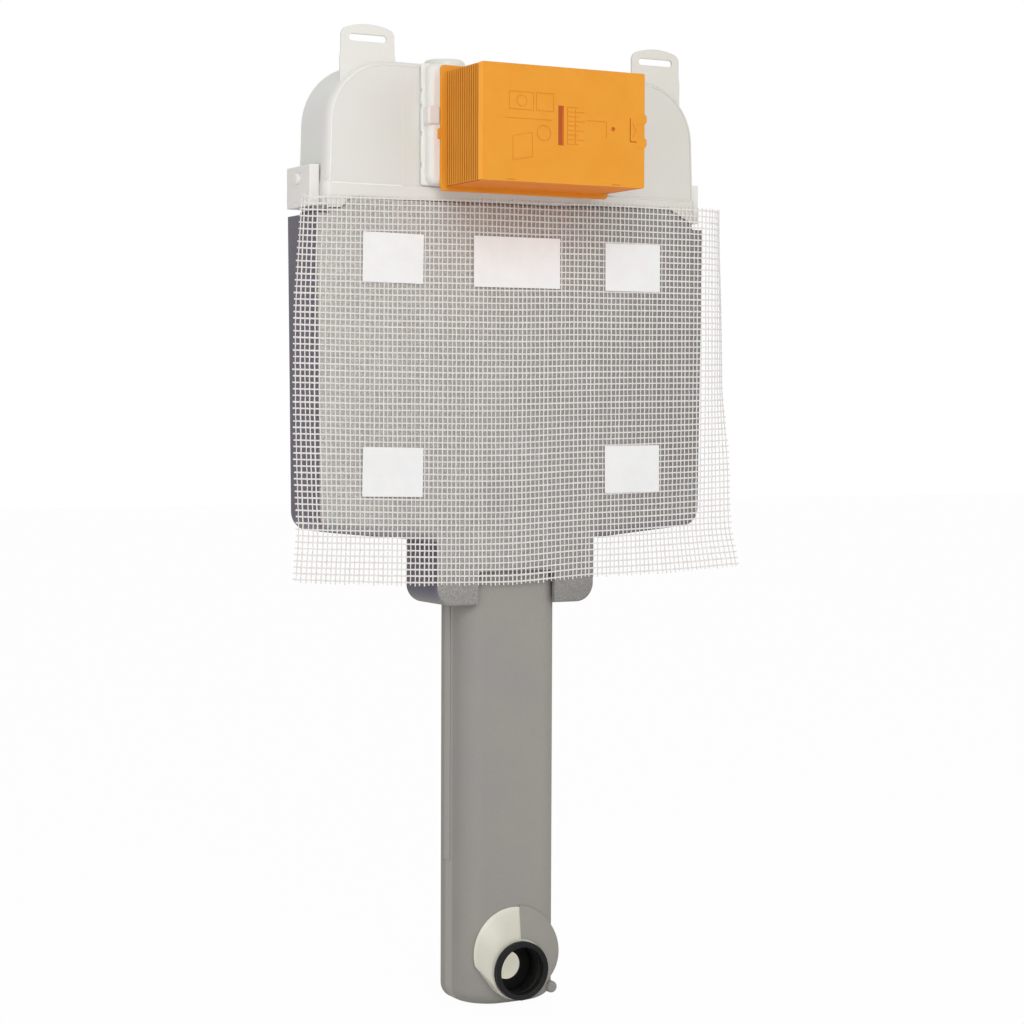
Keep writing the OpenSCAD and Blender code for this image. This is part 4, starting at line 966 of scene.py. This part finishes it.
def net_point(s, t):
    """Point of the net at s across, flat, and t from its top (0) to its foot (1)."""
    z = NET_TOP + (NET_LOW - NET_TOP) * t
    x, y = s, NET_Y
    free = abs(s) - JACKET_HALF
    if free > 0:
        bend = through(t, RIGHT_BEND if s > 0 else LEFT_BEND)
        turn = bend * free
        if abs(turn) > 1e-4:
            x = math.copysign(JACKET_HALF + math.sin(turn) / bend, s)
            y += (1 - math.cos(turn)) / bend
    jacket_end = CORNER_Z - 11.5 * smooth(JACKET_HALF, NECK_HALF, abs(x))
    below = max(0, jacket_end - z) if abs(x) > NECK_HALF else 0
    hang = smooth(0, 60, below)
    if s > 0:
        y -= 14 * hang * smooth(NECK_HALF, NET_RIGHT, s)
    else:
        y += 6 * hang * smooth(NECK_HALF, -NET_LEFT, -s)
    across = s - NET_MIDDLE
    bow = 1 - (across / NET_HALF) ** 2
    z += (0.013 * across + 2.5 * bow) * (1 - t) + (3.7 * smooth(-20, 90, s) - 8 * bow) * t
    x -= 4 * smooth(-150, NET_LEFT, s) * math.sin(math.pi * min(1, t / 0.85))
    z += 0.7 * noise.noise(Vector((s / 90, z / 40, 3)))
    y += 0.35 * noise.noise(Vector((s / 45, z / 45, 7)))
    return Vector((x, y, z))


def ribbon(points, width, thickness, wide_axis):
    """Corners and faces of one flat strand along its points."""
    corners = []
    w = wide_axis * width / 2
    d = Vector((0, thickness / 2, 0))
    for p in points:
        corners += [p - w - d, p + w - d, p + w + d, p - w + d]
    return corners, tube_faces(corners, 4)


def gathered(parts):
    """Points and faces of several meshes in one."""
    points = []
    faces = []
    for more, sides in parts:
        base = len(points)
        points += more
        faces += [tuple(base + i for i in side) for side in sides]
    return points, faces


def plaster_net():
    """Woven net: every strand is a ribbon that passes over and under the crossing ones."""
    dice = random.Random(4)
    width, height = NET_RIGHT - NET_LEFT, NET_TOP - NET_LOW
    columns, rows = round(width / NET_PITCH_X), round(height / NET_PITCH_Z)
    across = [NET_LEFT + 3 + (width - 6) * i / columns for i in range(columns + 1)]
    across = [s + dice.uniform(-0.35, 0.35) for s in across]
    down = [0.008 + 0.984 * j / rows for j in range(rows + 1)]
    strands = []
    for t in down:
        stops = [NET_LEFT + dice.uniform(-0.5, 0.5), *across, NET_RIGHT + dice.uniform(-0.8, 0.5)]
        points = [net_point(s, t) for s in stops]
        strands.append(ribbon(points, 1.4 + dice.uniform(-0.15, 0.15), 0.4, Vector((0, 0, 1))))
    for s in across:
        lean = dice.uniform(-0.5, 0.5)
        points = []
        for k, t in enumerate([0.001, *down, 0.997 + dice.uniform(0.0, 0.005)]):
            p = net_point(s + lean * math.sin(t * 7 + s), t)
            p.y += 0.22 if k % 2 else -0.22
            points.append(p)
        strands.append(ribbon(points, 1.05 + dice.uniform(-0.2, 0.2), 0.35, Vector((1, 0, 0))))
    made = object_of(*gathered(strands))
    settle(made, "plaster_net_strands", "plaster_net", level=False)


def tape_sheet(x0, x1, z0, z1, turn, front):
    """Points and faces of a thin sheet that follows the net, turned a little in its plane."""
    columns, rows = 16, 12
    middle = Vector(((x0 + x1) / 2, (z0 + z1) / 2))
    points = []
    for j in range(rows + 1):
        for layer, way in ((0, 1), (1, -1)):
            for i in range(columns + 1)[::way]:
                p = Vector((x0 + (x1 - x0) * i / columns, z0 + (z1 - z0) * j / rows)) - middle
                p = middle + Vector((p.x - turn * p.y, p.y + turn * p.x))
                wave = 0.18 * noise.noise(Vector((p.x / 12, p.y / 12, 11)))
                points.append((p.x, front + wave + 0.25 * layer, p.y))
    return points, tube_faces(points, 2 * (columns + 1))


PADS = [(-132, -201, -0.012), (126.5, -202, 0.006), (-132, -399.5, -0.018), (127, -398.5, 0.010)]
PAD_HALF_X = 31
PAD_HALF_Z = 23


def tape_pads():
    front = box_mm("tape_pads")[0].y
    sheets = [
        tape_sheet(x - PAD_HALF_X, x + PAD_HALF_X, z - PAD_HALF_Z, z + PAD_HALF_Z, turn, front)
        for x, z, turn in PADS
    ]
    settle(object_of(*gathered(sheets)), "pads", "tape_pads", level=False)


def bare_label():
    low, high = box_mm("plain_label")
    sheet = tape_sheet(low.x, high.x, low.z, high.z, 0.004, low.y)
    settle(object_of(*sheet), "label", "plain_label", level=False)


# Pipe cover and outlet

seal_lo, seal_hi = box_mm("outlet_seal")
OUTLET_Z = -879.5
PIPE_Y = 28
SPLIT = cover_back_lo.y
COVER_R = 20
FOOT_R = 17
UNDER_R = 13
FOOT_DROP = 3.5
CORNER_GROWTH = 14
RIM = 4
REACH = seal_lo.y + RIM
SKIRT_R = 42.5
SKIRT_RISE = 16.5
SLEEVE_R = 28.6
ELBOW_R = 25.5
BORE_R = 20.5
ROOM_R = 25.8


def undercut(r, height):
    """How far a rounded lower edge lies inside its corner at a height above the foot."""
    return r - math.sqrt(r * r - max(0, r - height) ** 2)


def cover_shape(front, back, front_r, back_r):
    """Foam sleeve between two depths. Towards its foot the left front corner grows rounder."""
    low, high = cover_lo.z - FOOT_DROP, cover_hi.z
    heights = [FOOT_R * (1 - math.cos(math.pi / 2 * k / 12)) for k in range(13)]
    heights += [FOOT_R + 6, FOOT_R + 12, FOOT_R + 20, FOOT_R + 30, high - low]
    points = []
    for h in heights:
        half = COVER_HALF - undercut(FOOT_R, h)
        start, end, left_r = front, back, front_r
        if front == COVER_FRONT:
            start += undercut(UNDER_R, h)
            left_r += CORNER_GROWTH * smooth(FOOT_R + 30, 0, h)
            left_r = min(left_r, end - start - 2)
        else:
            end -= undercut(4, h)
        plan = rounded([
            (-half, start, left_r), (half, start, front_r),
            (half, end, back_r), (-half, end, back_r),
        ], 10)
        points += [(p.x, p.y, low + h) for p in plan]
    return object_of(points, tube_faces(points, len(plan)))


def skirt_solid(grow, back, widen=0.0, drop=0.0):
    """Flare from the rim of the outlet to a wide foot that lies higher than the outlet."""
    stations = 10
    turns = [math.tau * i / 96 for i in range(96)]
    points = []
    for k in range(stations + 2):
        t = min(1, k / stations)
        y = REACH + (COVER_FRONT - 1.5 - REACH) * t if k <= stations else back
        r = SLEEVE_R + grow + (SKIRT_R - SLEEVE_R) * t ** 0.8
        z = OUTLET_Z + SKIRT_RISE * t ** 0.9
        for a in turns:
            wide = r + widen * t * math.cos(a) ** 2
            level = z - drop * t * math.cos(a) ** 2
            points.append((wide * math.cos(a), y, level + wide * math.sin(a)))
    return object_of(points, tube_faces(points, len(turns)))


def level_bar(r, front, back, *rims):
    """Bar on the axis of the outlet."""
    return slab(ring(0, OUTLET_Z, r, 64), front, back, *rims)


def upright_bar(r, low, high):
    """Bar on the axis of the flush pipe."""
    return slab(ring(0, PIPE_Y, r, 64), low, high, axis="z")


def ball(r, steps=48):
    """Ball where the two axes meet."""
    turns = [math.pi * k / 24 for k in range(-12, 13)]
    profile = [(r * math.sin(a), 0.01 + r * math.cos(a)) for a in turns]
    return turned_solid(profile, (0, PIPE_Y, OUTLET_Z), steps=steps)


def cream_bend():
    """Elbow with its sockets and the flared skirt, cut off at its lower corners."""
    top = OUTLET_Z + 80
    made = skirt_solid(0, COVER_FRONT - 0.3)
    line = [(-60, 29.8), (-9, -35.6), (9, -35.6), (60, 29.8), (60, -60), (-60, -60)]
    corner = [(x, z + OUTLET_Z) for x, z in line]
    carve(made, corner, REACH - 5, COVER_FRONT + 2)
    add(
        made,
        level_bar(ELBOW_R, REACH + 20, PIPE_Y),
        level_bar(SLEEVE_R, REACH, REACH + 27.5, 0.5, 0.5, 2),
        upright_bar(ELBOW_R, OUTLET_Z, OUTLET_Z + ELBOW_R + 40),
        ball(ELBOW_R),
    )
    cut(
        made,
        ball(BORE_R),
        level_bar(BORE_R, REACH + 1, PIPE_Y),
        upright_bar(BORE_R, OUTLET_Z, top),
        upright_bar(22.7, OUTLET_Z + ELBOW_R + 12, top),
        level_bar(26.1, REACH - 3, REACH + 25.5),
    )
    settle(made, "bend", "flush_bend")


def lip_seal():
    """Black seal with a rounded rim, a step inside it and a thin sealing lip."""
    front, back = seal_lo.y - 3, seal_hi.y
    outer, bore, seat = seal_hi.x - 1.8, 22.6, 25.8
    profile = [
        *arc((front + 1.6, outer - 1.6), 1.6, 180, 90),
        *arc((front + RIM + 2, outer - 1), 1, 90, 0),
        (front + RIM + 3, seat), (back, seat), (back, bore + 0.4), (back - 0.4, bore),
        (front + 11, bore), (front + 10, bore + 0.9), (front + 5, bore + 0.9),
        *arc((front + 2.4, bore + 1.6), 1.6, 270, 180),
    ]
    settle(turned_solid(profile, (0.8, 0, OUTLET_Z)), "seal", "outlet_seal")


def restrictor_ring():
    low, high = box_mm("flow_restrictor")
    outer, hole = high.x, 13.5
    profile = [
        (low.y, outer), (high.y, outer), (high.y, hole + 0.3),
        (high.y - 0.3, hole), (low.y + 0.5, hole), (low.y, hole + 0.5),
    ]
    settle(turned_solid(profile, (0, 0, OUTLET_Z)), "restrictor", "flow_restrictor")


def pipe_room():
    """Solids of the room for the elbow and the flush pipe inside the foam."""
    return (
        ball(ROOM_R, 64),
        upright_bar(ROOM_R, OUTLET_Z, OUTLET_Z + 66.5),
        upright_bar(22.8, OUTLET_Z + 60, cover_hi.z + 3),
    )


def cover_front_half():
    """Front half of the sleeve, with the hood over the right of the skirt and the knob."""
    made = cover_shape(COVER_FRONT, SPLIT, COVER_R, 0.4)
    hood = skirt_solid(1.6, COVER_FRONT + 3, 6, 5)
    front, back = REACH - 5, COVER_FRONT + 5
    half = [(-70, front), (0.2, front), (9, back), (-70, back)]
    foot = rectangle(-70, OUTLET_Z - 80, 70, cover_lo.z)
    cut(
        hood,
        slab(half, OUTLET_Z - 75, OUTLET_Z + 75, axis="z"),
        slab(foot, front, back),
        level_bar(30.3, seal_lo.y - 2, REACH + FIT),
    )
    knob = ring(COVER_HALF - 6.8, OUTLET_Z - 24, 5.7, 32)
    add(made, hood, slab(knob, COVER_FRONT - 1, COVER_FRONT + 24, 2.5, 1, 4))
    skirt_room = skirt_solid(FIT, COVER_FRONT)
    cut(made, skirt_room, level_bar(28.9, REACH - 3, PIPE_Y), *pipe_room())
    settle(made, "cover_front", "pipe_cover_front")


def cover_back_half():
    made = cover_shape(SPLIT, cover_back_hi.y, 0.4, 2.8)
    settle(cut(made, *pipe_room()), "cover_back", "pipe_cover_back")


def side_strips():
    """Foam strips over the joint of the two halves, one at each side."""
    low, high = box_mm("cover_strips")
    shape = rectangle(low.y, low.z, high.y, high.z, 1.5, 3)
    left, right = (
        slab(shape, *sorted((side * COVER_HALF, side * high.x)), 0.5, 0.5, 3, axis="x")
        for side in (-1, 1)
    )
    settle(add(left, right), "strips", "cover_strips")


def inlet_cap():
    """Cap on the spare inlet, with a dished top."""
    low, high = box_mm("spare_inlet_cap")
    x, y = (low.x + high.x) / 2, (low.y + high.y) / 2
    top = high.z - 1.5
    r = (high.x - low.x) / 2 - 1.6
    profile = [
        (low.z, 0.01), (low.z, 10.4), (TANK_TOP + 0.2, 10.4), (TANK_TOP + 0.2, r), (top - 3, r),
        *arc((top - 2, r - 3), 2, 60, 0, 4), (top, r - 7), (top - 0.8, r - 8), (top - 0.8, 0.01),
    ]
    settle(turned_solid(profile, (x, y, 0), upright=True), "cap", "spare_inlet_cap")


# Hose inside the tank

def braided_hose():
    """Hose that sags between the stop valve and the fill valve."""
    low, high = box_mm("supply_hose")
    r = 6
    start = Vector((high.x, high.y - r, high.z - r))
    end = Vector((low.x, high.y - r, -63.5))
    out = Vector((0, 1, 0))
    rings, sides = 90, 16
    points = []

    def centre(t):
        p = start.lerp(end, t)
        p.z = start.z + (end.z - start.z) * smooth(0, 1, t) - 10 * math.sin(math.pi * t) ** 2
        return p

    for i in range(rings + 1):
        t = i / rings
        ahead = (centre(min(1, t + 0.01)) - centre(max(0, t - 0.01))).normalized()
        if i in (0, rings):
            ahead = Vector((-1, 0, 0))
        up = out.cross(ahead)
        fat = r - 0.15 + 0.12 * math.sin(i * 2.1)
        for j in range(sides):
            a = math.tau * j / sides
            points.append(centre(t) + out * fat * math.cos(a) + up * fat * math.sin(a))
    settle(object_of(points, tube_faces(points, sides)), "hose", "supply_hose", level=False)


# Stage and light

WHITE = (1, 1, 1, 1)
WORLD_TINT = (1.0, 0.99, 0.985, 1)
WORLD_LIGHT = 0.56
KEY_POWER = 29
FILL_POWER = 3
SIDE_POWER = 5
FLOOR_HALF = 12
FLOOR_GAP = 0.006


def white_for_camera(tree, kind, shader, strength, end):
    """Mixes a plain white light in for camera, mirror and transmission rays."""
    rays = tree.nodes.new("ShaderNodeLightPath").outputs
    share = rays["Is Camera Ray"]
    for operation, other in (
        ("MAXIMUM", rays["Is Glossy Ray"]),
        ("MAXIMUM", rays["Is Transmission Ray"]),
        ("MULTIPLY", strength),
    ):
        share = add_node(tree, "Math", {0: share, 1: other}, "Value", operation=operation)
    white = add_node(tree, kind, {"Color": WHITE, "Strength": 1.0}, 0)
    mixed = add_node(tree, "MixShader", {0: share, 1: shader, 2: white}, "Shader")
    tree.links.new(mixed, tree.nodes[end].inputs["Surface"])


def make_world():
    world = bpy.data.worlds.new("studio")
    bpy.context.scene.world = world
    world.use_nodes = True
    tree = world.node_tree
    ambient = tree.nodes["Background"]
    ambient.inputs["Color"].default_value = WORLD_TINT
    ambient.inputs["Strength"].default_value = WORLD_LIGHT
    white_for_camera(tree, "Background", ambient.outputs["Background"], 1.0, "World Output")


def make_floor():
    mesh = bpy.data.meshes.new("floor")
    z = CAD_BOX[0].z - FLOOR_GAP
    half = FLOOR_HALF
    corners = [(-half, -half, z), (half, -half, z), (half, half, z), (-half, half, z)]
    mesh.from_pydata(corners, [], [(0, 1, 2, 3)])
    material = bpy.data.materials.new("floor")
    material.use_nodes = True
    tree = material.node_tree
    shader = tree.nodes["Principled BSDF"]
    shader.inputs["Base Color"].default_value = (0.9, 0.9, 0.9, 1)
    shader.inputs["Roughness"].default_value = 0.9
    white_for_camera(tree, "Emission", shader.outputs["BSDF"], 0.97, "Material Output")
    mesh.materials.append(material)
    new_object("floor", mesh)


def area_lamp(name, place, target, size, power):
    data = bpy.data.lights.new(name, "AREA")
    data.shape = "SQUARE"
    data.size = size
    data.energy = power
    lamp = new_object(name, data)
    lamp.location = place
    lamp.rotation_euler = (Vector(target) - Vector(place)).to_track_quat("-Z", "Y").to_euler()


make_world()
make_floor()
area_lamp("key", (-0.7, -2.4, 0.9), (0, 0, -0.35), 1.6, KEY_POWER)
area_lamp("fill", (1.4, -1.6, 0.2), (0.1, 0, -0.35), 0.9, FILL_POWER)
area_lamp("side", (-2.2, -0.9, 0.0), (0, 0, -0.4), 1.4, SIDE_POWER)
bpy.context.scene.view_settings.view_transform = "Standard"

for name, node in frame["nodes"].items():
    paint(node, SLOT_OF[name])
milky_tank()
white_frame()
side_clip("left_clip", -1)
side_clip("right_clip", 1)
inlet_cap()
orange_box()
orange_lid()
foam_front()
foam_back()
plaster_net()
tape_pads()
bare_label()
cream_bend()
lip_seal()
restrictor_ring()
cover_front_half()
cover_back_half()
side_strips()
braided_hose()
